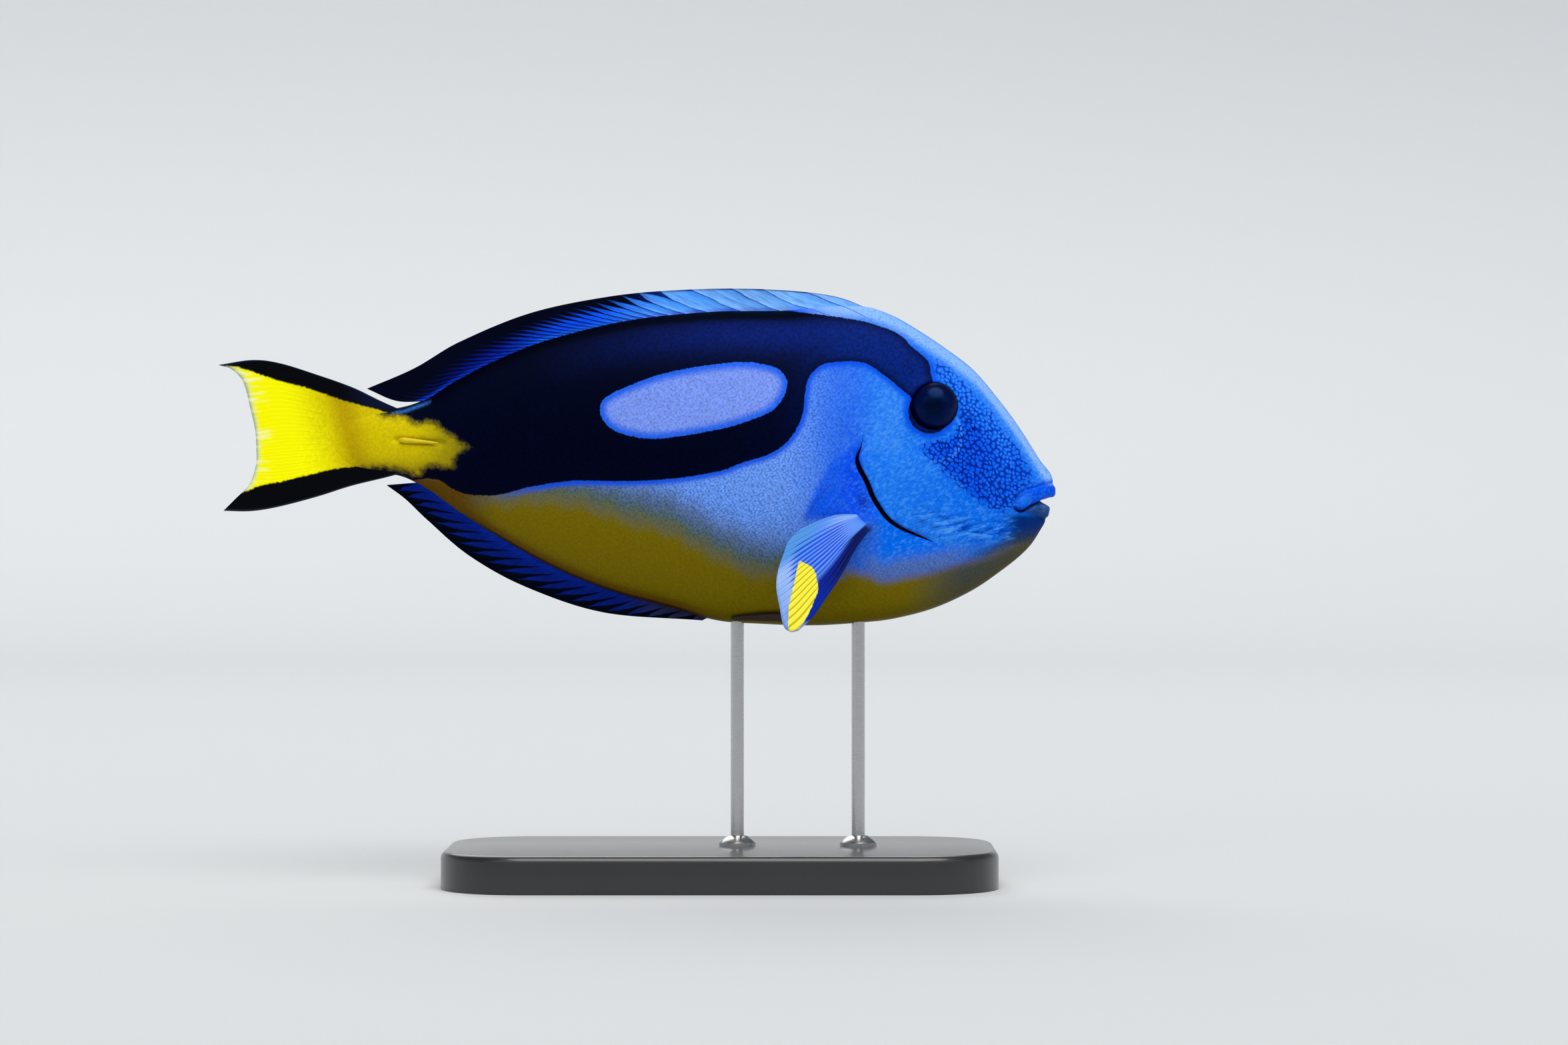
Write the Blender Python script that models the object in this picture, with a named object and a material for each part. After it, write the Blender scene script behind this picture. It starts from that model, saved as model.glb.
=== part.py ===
# Regal blue tang, a still life-size model held over a flat base by two short rods.
# +X is towards the snout, +Y is the fish's left side, +Z is up, and the floor is z = 0.
# Sizes below are millimetres. Heights of the fish are counted from its long axis.

import math

import bmesh
import bpy
from mathutils import Matrix, Vector

MM = 0.001
GAP = 0.3
AXIS_HEIGHT = 100.0

# Body: its ends, its side outline, its half width and the height where it is widest, each as (x, value)
SNOUT_X = 99.9
SNOUT_Z = -7.0
TAIL_ROOT_X = -65.8
BACK = [
    (99.9, -7.0), (99.75, -3.8), (99.2, -1.8), (98.0, -0.1), (96.6, 1.6), (93.8, 6.1), (87.0, 15.8), (80.8, 23.1),
    (74.4, 28.1), (68.0, 32.4), (61.4, 36.2), (55.0, 38.4), (47.0, 38.6), (35.8, 37.6), (16.6, 37.2), (-2.6, 35.1),
    (-21.8, 30.4), (-34.6, 25.3), (-44.2, 20.3), (-50.6, 16.3), (-57.0, 14.2), (-65.8, 13.9),
]
BELLY = [
    (99.9, -7.0), (98.9, -8.6), (98.4, -11.0), (98.0, -12.8), (96.6, -15.4), (94.2, -19.0), (87.0, -25.2), (80.5, -29.6),
    (71.0, -34.0), (61.4, -36.5), (55.0, -37.3), (42.2, -38.1), (29.4, -37.7), (19.2, -36.9), (7.0, -33.6),
    (-5.8, -30.1), (-18.6, -25.0), (-31.4, -18.1), (-42.6, -11.0), (-50.6, -5.3), (-57.0, -2.2), (-65.8, -1.9),
]
FLANK = [
    (99.9, 0.0), (99.2, 2.0), (96.6, 3.9), (93.4, 5.5), (87.0, 7.8), (80.6, 9.4), (71.0, 11.1), (63.0, 12.2),
    (55.0, 12.9), (43.0, 13.4), (30.0, 13.2), (16.0, 12.4), (0.0, 10.9), (-16.0, 8.8), (-30.0, 6.8),
    (-42.0, 5.1), (-50.0, 4.0), (-57.0, 3.1), (-65.8, 1.5),
]
WIDEST = [(99.9, -7.0), (87.0, -3.0), (71.0, 0.0), (55.0, 1.6), (30.0, 2.0), (0.0, 4.0), (-30.0, 5.5), (-65.8, 6.0)]
# How sharp the ridge of the back and the keel of the belly are: 1 is an ellipse, more is a narrower edge
BACK_EDGE = [(99.9, 0.9), (87.0, 0.95), (71.0, 1.0), (55.0, 1.15), (30.0, 1.25), (-65.8, 1.2)]
BELLY_EDGE = [(99.9, 0.9), (71.0, 0.95), (40.0, 0.95), (10.0, 1.1), (-65.8, 1.2)]

# The gill cover stands a little proud of the flank behind it
CHEEK_X = 61.0
CHEEK_Z = -5.0
CHEEK_LONG = 12.0
CHEEK_TALL = 15.0
CHEEK_RISE = 0.8

# Where the head parts from the body, seen from the side: the nape, the gill slit, then the throat
GILL_LINE = [
    (53.8, 46.0), (53.9, 28.8), (54.6, 16.0), (54.9, 8.0), (53.5, 2.6), (54.0, -0.6), (55.4, -3.7), (57.0, -7.2),
    (59.4, -10.9), (63.3, -14.2), (67.4, -16.2), (71.8, -18.2), (76.2, -22.0), (78.8, -28.0), (79.8, -40.0),
]
GILL_STEPS = 3
SLIT_TOP_Z = 8.0
SLIT_BOTTOM_Z = -18.2
SLIT_RADIUS = 0.6
SLIT_LEAST = 0.35
SLIT_BACK = 0.25
TAIL_CUT_X = -45.8

# The forms of head and body reach past the gill line, and plates as wide as the fish part them there
HEAD_FORM_END_X = 46.0
BODY_FORM_START_X = 84.0
BEHIND_ALL_X = 20.0
AHEAD_OF_ALL_X = 120.0
PLATE_HALF_DEPTH = 30.0

# Eyes in their rims, nostrils, lips as (x, y, z, radius) from the left corner to the front, and the open mouth
EYE = (70.8, 7.6, 14.2)
EYE_RADIUS = 6.0
EYE_DEPTH = 5.0
RIM_RADIUS = 6.9
RIM_DEPTH = 4.5
NOSTRILS = [(78.6, 11.4, 0.75), (80.3, 9.0, 0.55)]
NOSTRIL_DEPTH = 1.0
UPPER_LIP = [
    (91.0, 5.8, -9.3, 0.7), (92.8, 5.2, -8.7, 1.3), (95.2, 3.9, -7.6, 1.7), (97.4, 2.6, -6.4, 1.7),
    (98.5, 1.3, -6.0, 1.65), (98.85, 0.0, -5.9, 1.65),
]
LOWER_LIP = [
    (91.4, 5.5, -11.2, 0.6), (93.3, 4.9, -11.9, 0.9), (95.4, 3.8, -11.7, 1.2), (96.7, 2.4, -11.2, 1.3),
    (97.4, 1.2, -10.8, 1.3), (97.5, 0.0, -10.7, 1.25),
]
MOUTH_GAPE = [
    (91.0, -10.0), (93.2, -10.5), (95.4, -9.8), (97.4, -8.4), (102.0, -7.6), (102.0, -9.4), (98.2, -9.1),
    (95.6, -10.4), (93.2, -11.0),
]
MOUTH_HALF_DEPTH = 12.0

# Caudal spine, folded in its groove with the point forwards
SPINE_ROOT = (-57.0, 6.4)
SPINE_TIP = (-47.4, 5.6)
SPINE_TALL = 1.5
SPINE_THICK = 1.6
SPINE_RINGS = 8
# How far the middle of the spine and of the gill groove lies outside the skin
SET_OUT = 0.1

# Fins. Each is a sheet between a root, an outer margin and two side edges, with a ridge along every ray.
# Curves are (share along the fin, x, z); the share runs from the first ray to the last.
DORSAL = {
    "rays": 28,
    "rows": 5,
    "root": [
        (0.0, 54.0, 36.6), (0.2, 35.0, 35.6), (0.4, 15.0, 35.6), (0.6, -6.0, 33.2), (0.8, -28.0, 26.9),
        (1.0, -48.6, 15.9),
    ],
    "margin": [
        (0.0, 55.4, 38.6), (0.05, 48.5, 40.6), (0.1, 40.5, 41.9), (0.2, 26.0, 42.7), (0.35, 10.0, 42.4),
        (0.5, -7.0, 40.8), (0.65, -25.5, 36.9), (0.8, -43.0, 29.8), (0.9, -53.5, 23.6), (1.0, -64.9, 18.7),
    ],
    "first": [],
    "last": [(0.5, -57.4, 15.7)],
    "root_half": 0.62,
    "rim_half": 0.28,
    "ridge": 0.32,
}
ANAL = {
    "rays": 21,
    "rows": 5,
    "root": [
        (0.0, 18.6, -35.4), (0.2, 4.0, -31.0), (0.4, -10.4, -26.6), (0.6, -24.6, -20.2), (0.8, -38.0, -12.0),
        (1.0, -50.4, -3.6),
    ],
    "margin": [
        (0.0, 15.6, -36.9), (0.2, -8.0, -35.0), (0.4, -26.4, -29.0), (0.6, -40.0, -21.6), (0.8, -50.6, -12.6),
        (0.9, -55.6, -7.8), (1.0, -60.2, -4.4),
    ],
    "first": [],
    "last": [],
    "root_half": 0.62,
    "rim_half": 0.28,
    "ridge": 0.32,
}
CAUDAL = {
    "rays": 20,
    "rows": 9,
    "root": [(0.0, -56.2, 13.4), (0.2, -64.0, 11.0), (0.5, -64.6, 6.0), (0.8, -64.0, 1.0), (1.0, -56.0, -1.4)],
    "margin": [
        (0.0, -100.5, 24.4), (0.06, -97.4, 23.4), (0.15, -94.6, 20.4), (0.3, -92.8, 13.8), (0.42, -91.7, 8.9),
        (0.55, -91.4, 4.6), (0.7, -91.5, 0.4), (0.85, -93.2, -4.4), (0.94, -96.6, -7.9), (1.0, -99.3, -10.6),
    ],
    "first": [(0.12, -61.6, 15.8), (0.3, -68.2, 19.0), (0.5, -76.6, 22.0), (0.7, -86.0, 24.9), (0.86, -92.6, 25.6)],
    "last": [(0.12, -60.4, -2.6), (0.3, -68.6, -4.6), (0.5, -76.8, -7.2), (0.7, -86.4, -9.7), (0.86, -93.0, -10.7)],
    "root_half": 1.05,
    "rim_half": 0.28,
    "ridge": 0.3,
}
PECTORAL = {
    "rays": 16,
    "rows": 8,
    "root": [(0.0, 57.6, -12.6), (0.5, 55.6, -12.0), (1.0, 53.2, -11.4)],
    "margin": [
        (0.0, 38.6, -38.7), (0.05, 36.8, -39.0), (0.12, 35.2, -37.8), (0.3, 34.2, -33.4), (0.5, 33.4, -28.8),
        (0.7, 33.8, -24.6), (0.85, 35.2, -20.4), (0.94, 36.4, -17.6), (1.0, 39.2, -14.8),
    ],
    "first": [(0.25, 52.6, -19.0), (0.5, 48.6, -26.0), (0.75, 44.4, -32.2), (0.9, 41.6, -36.0)],
    "last": [(0.5, 46.6, -11.8)],
    "root_half": 0.85,
    "rim_half": 0.26,
    "ridge": 0.3,
}
# The pectoral fin's root lies this far out from the middle; the fin leans out and is hollow towards the body
PECTORAL_ROOT_Y = 11.2
PECTORAL_SPREAD = 0.48
PECTORAL_CAMBER = 1.6
PELVIC = {
    "rays": 4,
    "rows": 8,
    "root": [(0.0, 43.2, -37.2), (1.0, 40.6, -35.2)],
    "margin": [(0.0, 23.6, -36.8), (0.5, 22.4, -36.4), (1.0, 23.0, -35.8)],
    "first": [(0.5, 32.4, -37.0)],
    "last": [(0.5, 31.4, -34.9)],
    "root_half": 0.5,
    "rim_half": 0.28,
    "ridge": 0.12,
}
# How far the folded pelvic fin stands off the belly, and how deep its root goes into it
PELVIC_LIFT = 0.85
PELVIC_SUNK = 1.2

# Stand
BASE_CENTRE_X = 20.0
BASE_SIZE = (132.0, 68.0, 9.0)
BASE_CORNER = 20.0
BASE_CORNER_STEPS = 8
BASE_EDGE = 1.6
BASE_EDGE_STEPS = 3
ROD_RADIUS = 1.6
ROD_FRONT_X = 53.0
ROD_REAR_X = 24.0
ROD_SUNK = 7.0
ROD_IN_BASE = 6.0
SOCKET_BELOW_BELLY = 23.0
SOCKET_ABOVE_BASE = 10.0

# Facets, and the angle above which an edge is drawn sharp
SHARP_DEGREES = 28
RIDGE_SHARP_DEGREES = 8
RING_SEGMENTS = 36
EYE_SEGMENTS = 20
SOCKET_SEGMENTS = 24
HEAD_RINGS = 26
BODY_RING_STEP = 4.3
TAIL_RINGS = 7


def spline(knots, at):
    """The smooth curve through (position, value) knots, given in rising order, read at one position."""
    if at <= knots[0][0]:
        return knots[0][1]
    if at >= knots[-1][0]:
        return knots[-1][1]
    slopes = []
    for i in range(len(knots)):
        low = knots[max(i - 1, 0)]
        high = knots[min(i + 1, len(knots) - 1)]
        slopes.append((high[1] - low[1]) / (high[0] - low[0]))
    i = max(k for k in range(len(knots) - 1) if knots[k][0] <= at)
    width = knots[i + 1][0] - knots[i][0]
    t = (at - knots[i][0]) / width
    return (
        knots[i][1] * (2 * t**3 - 3 * t**2 + 1)
        + slopes[i] * width * (t**3 - 2 * t**2 + t)
        + knots[i + 1][1] * (3 * t**2 - 2 * t**3)
        + slopes[i + 1] * width * (t**3 - t**2)
    )


def nose_way(x):
    """Distance from the snout, drawn out near the tip so that the outlines round it off."""
    return math.sqrt(max(SNOUT_X - x, 0.0))


def along_body(knots, x):
    return spline([(nose_way(k), value) for k, value in knots], nose_way(x))


def point(x, y, z):
    """A point of the fish in metres above the floor."""
    return Vector((x, y, z + AXIS_HEIGHT)) * MM


def cheek(x, z):
    """How far the cheek and gill cover stand out from the plain body."""
    return CHEEK_RISE * math.exp(-((x - CHEEK_X) / CHEEK_LONG) ** 2 - ((z - CHEEK_Z) / CHEEK_TALL) ** 2)


def body_section(x, angle, grow=0.0, cheeks=False):
    """(y, z) of the body's skin at x. The angle is 0 on the back, half a turn on the belly."""
    middle = along_body(WIDEST, x)
    upper = max(math.cos(angle), 0.0)
    if math.cos(angle) >= 0:
        reach = along_body(BACK, x) + grow - middle
        edge = along_body(BACK_EDGE, x)
    else:
        upper = -math.cos(angle)
        reach = along_body(BELLY, x) - grow - middle
        edge = along_body(BELLY_EDGE, x)
    z = middle + reach * upper
    width = along_body(FLANK, x) + grow
    if cheeks:
        width += cheek(x, z)
    y = math.copysign(width * abs(math.sin(angle)) ** edge, math.sin(angle))
    return y, z


def skin_y(x, z):
    """Half width of the body at a point of its side view."""
    middle = along_body(WIDEST, x)
    outline, edges = (BACK, BACK_EDGE) if z >= middle else (BELLY, BELLY_EDGE)
    share = (z - middle) / (along_body(outline, x) - middle)
    return along_body(FLANK, x) * math.sqrt(max(1 - share**2, 0.0)) ** along_body(edges, x)


def material(name, colour, roughness):
    made = bpy.data.materials.new(name)
    made.use_nodes = True
    shader = made.node_tree.nodes["Principled BSDF"]
    shader.inputs["Base Color"].default_value = (*colour, 1.0)
    shader.inputs["Roughness"].default_value = roughness
    made.diffuse_color = (*colour, 1.0)
    return made


def add_object(name, mesh, collection, finish=None):
    obj = bpy.data.objects.new(name, mesh)
    collection.objects.link(obj)
    if finish:
        mesh.materials.append(finish)
    return obj


def mesh_of(shape, name, smooth=True):
    """Turns a bmesh into a mesh with its faces pointing out."""
    bmesh.ops.recalc_face_normals(shape, faces=shape.faces)
    if shape.calc_volume(signed=True) < 0:
        bmesh.ops.reverse_faces(shape, faces=shape.faces)
    mesh = bpy.data.meshes.new(name)
    shape.to_mesh(mesh)
    shape.free()
    if smooth:
        mesh.shade_smooth()
        mesh.set_sharp_from_angle(angle=math.radians(SHARP_DEGREES))
    return mesh


def tube_form(name, stations, place, segments=RING_SEGMENTS):
    """A closed form lofted through rings: a sphere whose rings go to the stations and whose poles close the ends."""
    shape = bmesh.new()
    bmesh.ops.create_uvsphere(shape, u_segments=segments, v_segments=len(stations) + 1, radius=1.0)
    last = len(stations) + 1
    for vert in shape.verts:
        polar = math.acos(max(-1.0, min(1.0, vert.co.z))) / math.pi * last
        ring = round(polar)
        angle = math.atan2(vert.co.x, vert.co.y)
        vert.co = place(ring, angle, min(max(ring - 1, 0), len(stations) - 1), ring in (0, last))
    return mesh_of(shape, name)


def body_form(name, stations, grow=0.0, cheeks=False):
    """The body between the first and last station. A station at the snout closes there in a point."""

    def place(ring, angle, index, is_pole):
        x = stations[index]
        if is_pole:
            if ring == 0 and x > SNOUT_X - 1.0:
                return point(SNOUT_X + grow, 0.0, SNOUT_Z)
            return point(x, 0.0, along_body(WIDEST, x))
        return point(x, *body_section(x, angle, grow, cheeks))

    return tube_form(name, stations, place)


def even_steps(first, last, step):
    count = math.ceil(abs(last - first) / step)
    return [first + (last - first) * i / count for i in range(count + 1)]


def evaluated_mesh(obj):
    graph = bpy.context.evaluated_depsgraph_get()
    return bpy.data.meshes.new_from_object(obj.evaluated_get(graph))


def largest_part(mesh):
    """Keeps the closed surface that has the most corners, and drops the scraps of a cut."""
    shape = bmesh.new()
    shape.from_mesh(mesh)
    left = set(shape.verts)
    groups = []
    while left:
        group, front = set(), [left.pop()]
        while front:
            vert = front.pop()
            group.add(vert)
            for edge in vert.link_edges:
                other = edge.other_vert(vert)
                if other in left:
                    left.discard(other)
                    front.append(other)
        groups.append(group)
    groups.sort(key=len)
    scraps = [vert for group in groups[:-1] for vert in group]
    bmesh.ops.delete(shape, geom=scraps, context="VERTS")
    shape.to_mesh(mesh)
    shape.free()


def combine(obj, others, operation, sharp_degrees=SHARP_DEGREES):
    """One Boolean of the object with several closed meshes, applied, and the meshes removed."""
    tools = bpy.data.collections.new("tools")
    bpy.context.scene.collection.children.link(tools)
    for other in others:
        tools.objects.link(other)
    cut = obj.modifiers.new("combine", "BOOLEAN")
    cut.operation = operation
    cut.operand_type = "COLLECTION"
    cut.collection = tools
    cut.solver = "EXACT"
    bpy.context.view_layer.update()
    result = evaluated_mesh(obj)
    obj.modifiers.clear()
    obj.data = result
    for other in others:
        bpy.data.objects.remove(other)
    bpy.data.collections.remove(tools)
    largest_part(obj.data)
    obj.data.shade_smooth()
    obj.data.set_sharp_from_angle(angle=math.radians(sharp_degrees))


def curve_mesh(name, curve):
    """The closed mesh of a curve object, with its caps welded on."""
    obj = bpy.data.objects.new(name, curve)
    bpy.context.scene.collection.objects.link(obj)
    bpy.context.view_layer.update()
    mesh = evaluated_mesh(obj)
    bpy.data.objects.remove(obj)
    shape = bmesh.new()
    shape.from_mesh(mesh)
    bmesh.ops.remove_doubles(shape, verts=shape.verts, dist=1e-6)
    return mesh_of(shape, name)


def side_plate(name, outline, half_depth):
    """A flat outline in the side view, as thick as the fish is wide, to cut with."""
    shape = bmesh.new()
    near = [shape.verts.new(point(x, -half_depth, z)) for x, z in outline]
    face = shape.faces.new(near)
    pushed = bmesh.ops.extrude_face_region(shape, geom=[face])
    far = [item for item in pushed["geom"] if isinstance(item, bmesh.types.BMVert)]
    bmesh.ops.translate(shape, verts=far, vec=Vector((0.0, 2 * half_depth * MM, 0.0)))
    return bpy.data.objects.new(name, mesh_of(shape, name, smooth=False))


def bent_tube(name, path, sides=2):
    """A round tube through (x, y, z, radius) points."""
    curve = bpy.data.curves.new(name, "CURVE")
    curve.dimensions = "3D"
    curve.bevel_depth = MM
    curve.bevel_resolution = sides
    curve.use_fill_caps = True
    line = curve.splines.new("POLY")
    line.points.add(len(path) - 1)
    for spot, (x, y, z, radius) in zip(line.points, path):
        spot.co = (*point(x, y, z), 1.0)
        spot.radius = radius
    return bpy.data.objects.new(name, curve_mesh(name, curve))


def both_sides(half_path):
    """A path from the left corner of the mouth round the snout to the right corner."""
    right = [(x, -y, z, radius) for x, y, z, radius in half_path]
    return half_path + right[-2::-1]


def ball(name, centre, radii, segments=EYE_SEGMENTS, rings=12):
    shape = bmesh.new()
    bmesh.ops.create_uvsphere(shape, u_segments=segments, v_segments=rings, radius=1.0)
    turn = Matrix.Rotation(math.pi / 2, 3, "X")
    for vert in shape.verts:
        spot = turn @ vert.co
        vert.co = point(*(middle + way * radius for middle, way, radius in zip(centre, spot, radii)))
    return bpy.data.objects.new(name, mesh_of(shape, name))


def rod(name, x, bottom, top, radius, segments=20):
    """A round rod between two heights above the floor."""
    shape = bmesh.new()
    bmesh.ops.create_cone(
        shape, cap_ends=True, segments=segments, radius1=radius * MM, radius2=radius * MM, depth=(top - bottom) * MM
    )
    bmesh.ops.translate(shape, verts=shape.verts, vec=Vector((x, 0.0, (bottom + top) / 2)) * MM)
    return bpy.data.objects.new(name, mesh_of(shape, name))


def mirrored(name, source, collection, finish):
    """The same piece on the fish's other side."""
    shape = bmesh.new()
    shape.from_mesh(source.data)
    for vert in shape.verts:
        vert.co.y = -vert.co.y
    return add_object(name, mesh_of(shape, name), collection, finish)


def smooth_line(points, steps):
    """The points of a smooth curve through some points, with a number of steps between each pair."""
    shares = [i / steps for i in range((len(points) - 1) * steps + 1)]
    return [tuple(spline([(i, p[axis]) for i, p in enumerate(points)], share) for axis in (0, 1)) for share in shares]


def gill_outline(shift, far_x):
    """The side of the gill line that lies towards far_x, moved by shift along x."""
    line = [(x + shift, z) for x, z in smooth_line(GILL_LINE, GILL_STEPS)]
    return line + [(far_x, GILL_LINE[-1][1]), (far_x, GILL_LINE[0][1])]


def gill_groove(side):
    """A tube along the visible gill slit, that opens a groove behind the gill cover."""
    path = []
    for x, z in smooth_line(GILL_LINE, GILL_STEPS):
        if SLIT_BOTTOM_Z <= z <= SLIT_TOP_Z:
            share = (z - SLIT_BOTTOM_Z) / (SLIT_TOP_Z - SLIT_BOTTOM_Z)
            radius = SLIT_RADIUS * (SLIT_LEAST + math.sin(math.pi * share))
            path.append((x - SLIT_BACK, side * (skin_y(x, z) + SET_OUT), z, radius))
    return bent_tube("groove", path)


def make_head(parts, finish):
    steps = [SNOUT_X - (nose_way(HEAD_FORM_END_X) * i / HEAD_RINGS) ** 2 for i in range(1, HEAD_RINGS + 1)]
    head = add_object("head", body_form("head", steps, cheeks=True), parts, finish)
    swellings = [bent_tube("upper_lip", both_sides(UPPER_LIP)), bent_tube("lower_lip", both_sides(LOWER_LIP))]
    for side in (1, -1):
        radii = (RIM_RADIUS, RIM_DEPTH, RIM_RADIUS)
        swellings.append(ball("rim", (EYE[0], side * EYE[1], EYE[2]), radii, segments=SOCKET_SEGMENTS))
    combine(head, swellings, "UNION")
    behind = side_plate("behind", gill_outline(0.0, BEHIND_ALL_X), PLATE_HALF_DEPTH)
    cutters = [behind, side_plate("mouth", MOUTH_GAPE, MOUTH_HALF_DEPTH)]
    for side in (1, -1):
        x, y, z = EYE
        radii = (EYE_RADIUS + GAP, EYE_DEPTH + GAP, EYE_RADIUS + GAP)
        cutters.append(ball("socket", (x, side * y, z), radii, segments=SOCKET_SEGMENTS))
        for nostril_x, nostril_z, radius in NOSTRILS:
            where = (nostril_x, side * skin_y(nostril_x, nostril_z), nostril_z)
            cutters.append(ball("nostril", where, (radius, NOSTRIL_DEPTH, radius), segments=8, rings=6))
    combine(head, cutters, "DIFFERENCE")
    return head


def make_torso(parts, finish):
    steps = even_steps(BODY_FORM_START_X, TAIL_CUT_X + GAP / 2, BODY_RING_STEP)
    torso = add_object("torso", body_form("torso", steps), parts, finish)
    ahead = side_plate("ahead", gill_outline(-GAP, AHEAD_OF_ALL_X), PLATE_HALF_DEPTH)
    cutters = [ahead, gill_groove(1), gill_groove(-1)]
    for x in (ROD_FRONT_X, ROD_REAR_X):
        top = rod_top(x)
        bottom = top - ROD_SUNK - SOCKET_BELOW_BELLY
        cutters.append(rod("socket", x, bottom, top + GAP, ROD_RADIUS + GAP))
    combine(torso, cutters, "DIFFERENCE")
    return torso


def rod_top(x):
    return AXIS_HEIGHT + along_body(BELLY, x) + ROD_SUNK


def spine_form(name, side, grow):
    """A flat lance lying along the tail stalk, blunt behind and pointed in front."""

    def place(ring, angle, index, is_pole):
        share = index / (SPINE_RINGS - 1)
        x = SPINE_ROOT[0] - grow + share * (SPINE_TIP[0] - SPINE_ROOT[0] + 2 * grow)
        z = SPINE_ROOT[1] + share * (SPINE_TIP[1] - SPINE_ROOT[1])
        middle = side * (skin_y(x, z) + SET_OUT)
        full = 0.0 if is_pole else math.sqrt(1.04 - share) * min(1.0, 0.55 + 2 * share)
        tall = full * SPINE_TALL / 2 + (0.0 if is_pole else grow)
        thick = full * SPINE_THICK / 2 + (0.0 if is_pole else grow)
        return point(x, middle + thick * math.sin(angle), z + tall * math.cos(angle))

    return tube_form(name, list(range(SPINE_RINGS)), place, segments=10)


def make_tail_stalk(parts, finish):
    steps = even_steps(TAIL_CUT_X - GAP / 2, TAIL_ROOT_X, (TAIL_CUT_X - TAIL_ROOT_X) / TAIL_RINGS)
    stalk = add_object("tail_stalk", body_form("tail_stalk", steps), parts, finish)
    grooves = [bpy.data.objects.new("groove", spine_form("groove", side, GAP)) for side in (1, -1)]
    combine(stalk, grooves, "DIFFERENCE")
    return stalk


def make_spines(parts, finish):
    for name, side in (("caudal_spine_left", 1), ("caudal_spine_right", -1)):
        add_object(name, spine_form(name, side, 0.0), parts, finish)


def make_eyes(parts, finish):
    for name, side in (("eye_left", 1), ("eye_right", -1)):
        x, y, z = EYE
        eye = ball(name, (x, side * y, z), (EYE_RADIUS, EYE_DEPTH, EYE_RADIUS))
        eye.data.materials.append(finish)
        parts.objects.link(eye)


def make_stand(parts, base_finish, rod_finish):
    length, width, height = BASE_SIZE
    shape = bmesh.new()
    bmesh.ops.create_cube(shape, size=1.0)
    bmesh.ops.scale(shape, verts=shape.verts, vec=Vector(BASE_SIZE) * MM)
    bmesh.ops.translate(shape, verts=shape.verts, vec=Vector((BASE_CENTRE_X, 0.0, height / 2)) * MM)
    upright = [e for e in shape.edges if abs(e.verts[0].co.z - e.verts[1].co.z) > height * MM / 2]
    bmesh.ops.bevel(
        shape, geom=upright, offset=BASE_CORNER * MM, offset_type="OFFSET", segments=BASE_CORNER_STEPS, profile=0.5,
        affect="EDGES", material=-1,
    )
    rim = [e for e in shape.edges if all(v.co.z > (height - 0.1) * MM for v in e.verts)]
    bmesh.ops.bevel(
        shape, geom=rim, offset=BASE_EDGE * MM, offset_type="OFFSET", segments=BASE_EDGE_STEPS, profile=0.5,
        affect="EDGES", material=-1,
    )
    base = add_object("stand_base", mesh_of(shape, "stand_base"), parts, base_finish)
    foot = height - ROD_IN_BASE
    above = height + SOCKET_ABOVE_BASE
    sockets = [rod("socket", x, foot - GAP, above, ROD_RADIUS + GAP) for x in (ROD_FRONT_X, ROD_REAR_X)]
    combine(base, sockets, "DIFFERENCE")
    for name, x in (("stand_rod_front", ROD_FRONT_X), ("stand_rod_rear", ROD_REAR_X)):
        made = rod(name, x, foot, rod_top(x), ROD_RADIUS)
        made.data.materials.append(rod_finish)
        parts.objects.link(made)


def curve_through(knots, share):
    """The point of a fin's edge at a share of the way along it."""
    return Vector((spline([(k[0], k[1]) for k in knots], share), spline([(k[0], k[2]) for k in knots], share)))


def fin_patch(plan):
    """A function from (share across the rays, share along a ray) to a point (x, z) of the side view."""
    root, margin = plan["root"], plan["margin"]
    first = [(0.0, *root[0][1:]), *plan["first"], (1.0, *margin[0][1:])]
    last = [(0.0, *root[-1][1:]), *plan["last"], (1.0, *margin[-1][1:])]

    def at(across, along):
        straight = curve_through(root, across) * (1 - along) + curve_through(margin, across) * along
        sides = curve_through(first, along) * (1 - across) + curve_through(last, along) * across
        corners = (
            (curve_through(root, 0.0) * (1 - across) + curve_through(root, 1.0) * across) * (1 - along)
            + (curve_through(margin, 0.0) * (1 - across) + curve_through(margin, 1.0) * across) * along
        )
        return straight + sides - corners

    return at


def fin_form(name, plan, lateral):
    """The closed sheet of a fin. lateral gives the y of its middle surface, from x, z and the two shares."""
    columns, rows = 2 * plan["rays"], plan["rows"]
    at = fin_patch(plan)
    shape = bmesh.new()
    bmesh.ops.create_grid(shape, x_segments=columns, y_segments=rows, size=1.0)
    bmesh.ops.triangulate(shape, faces=shape.faces)
    near = list(shape.verts)
    pushed = bmesh.ops.extrude_face_region(shape, geom=list(shape.faces), use_keep_orig=True)
    far = [item for item in pushed["geom"] if isinstance(item, bmesh.types.BMVert)]
    for verts, side in ((near, -1), (far, 1)):
        for vert in verts:
            column = round((vert.co.x + 1) / 2 * columns)
            across, along = column / columns, (vert.co.y + 1) / 2
            fade = 1 - along
            half = plan["rim_half"] + (plan["root_half"] - plan["rim_half"]) * fade**2
            if column % 2:
                half += plan["ridge"] * (0.6 + 0.4 * fade)
            spot = at(across, along)
            middle = lateral(spot.x, spot.y, across, along)
            vert.co = point(spot.x, middle + side * half, spot.y)
    return mesh_of(shape, name)


def clear_body():
    """The whole body, larger by the gap, to trim the fins' roots with."""
    steps = even_steps(BODY_FORM_START_X, TAIL_ROOT_X - GAP, BODY_RING_STEP)
    return bpy.data.objects.new("clear", body_form("clear", steps, grow=GAP))


def flat_fin(x, z, across, along):
    """The middle fins stand in the plane of symmetry."""
    return 0.0


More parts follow.
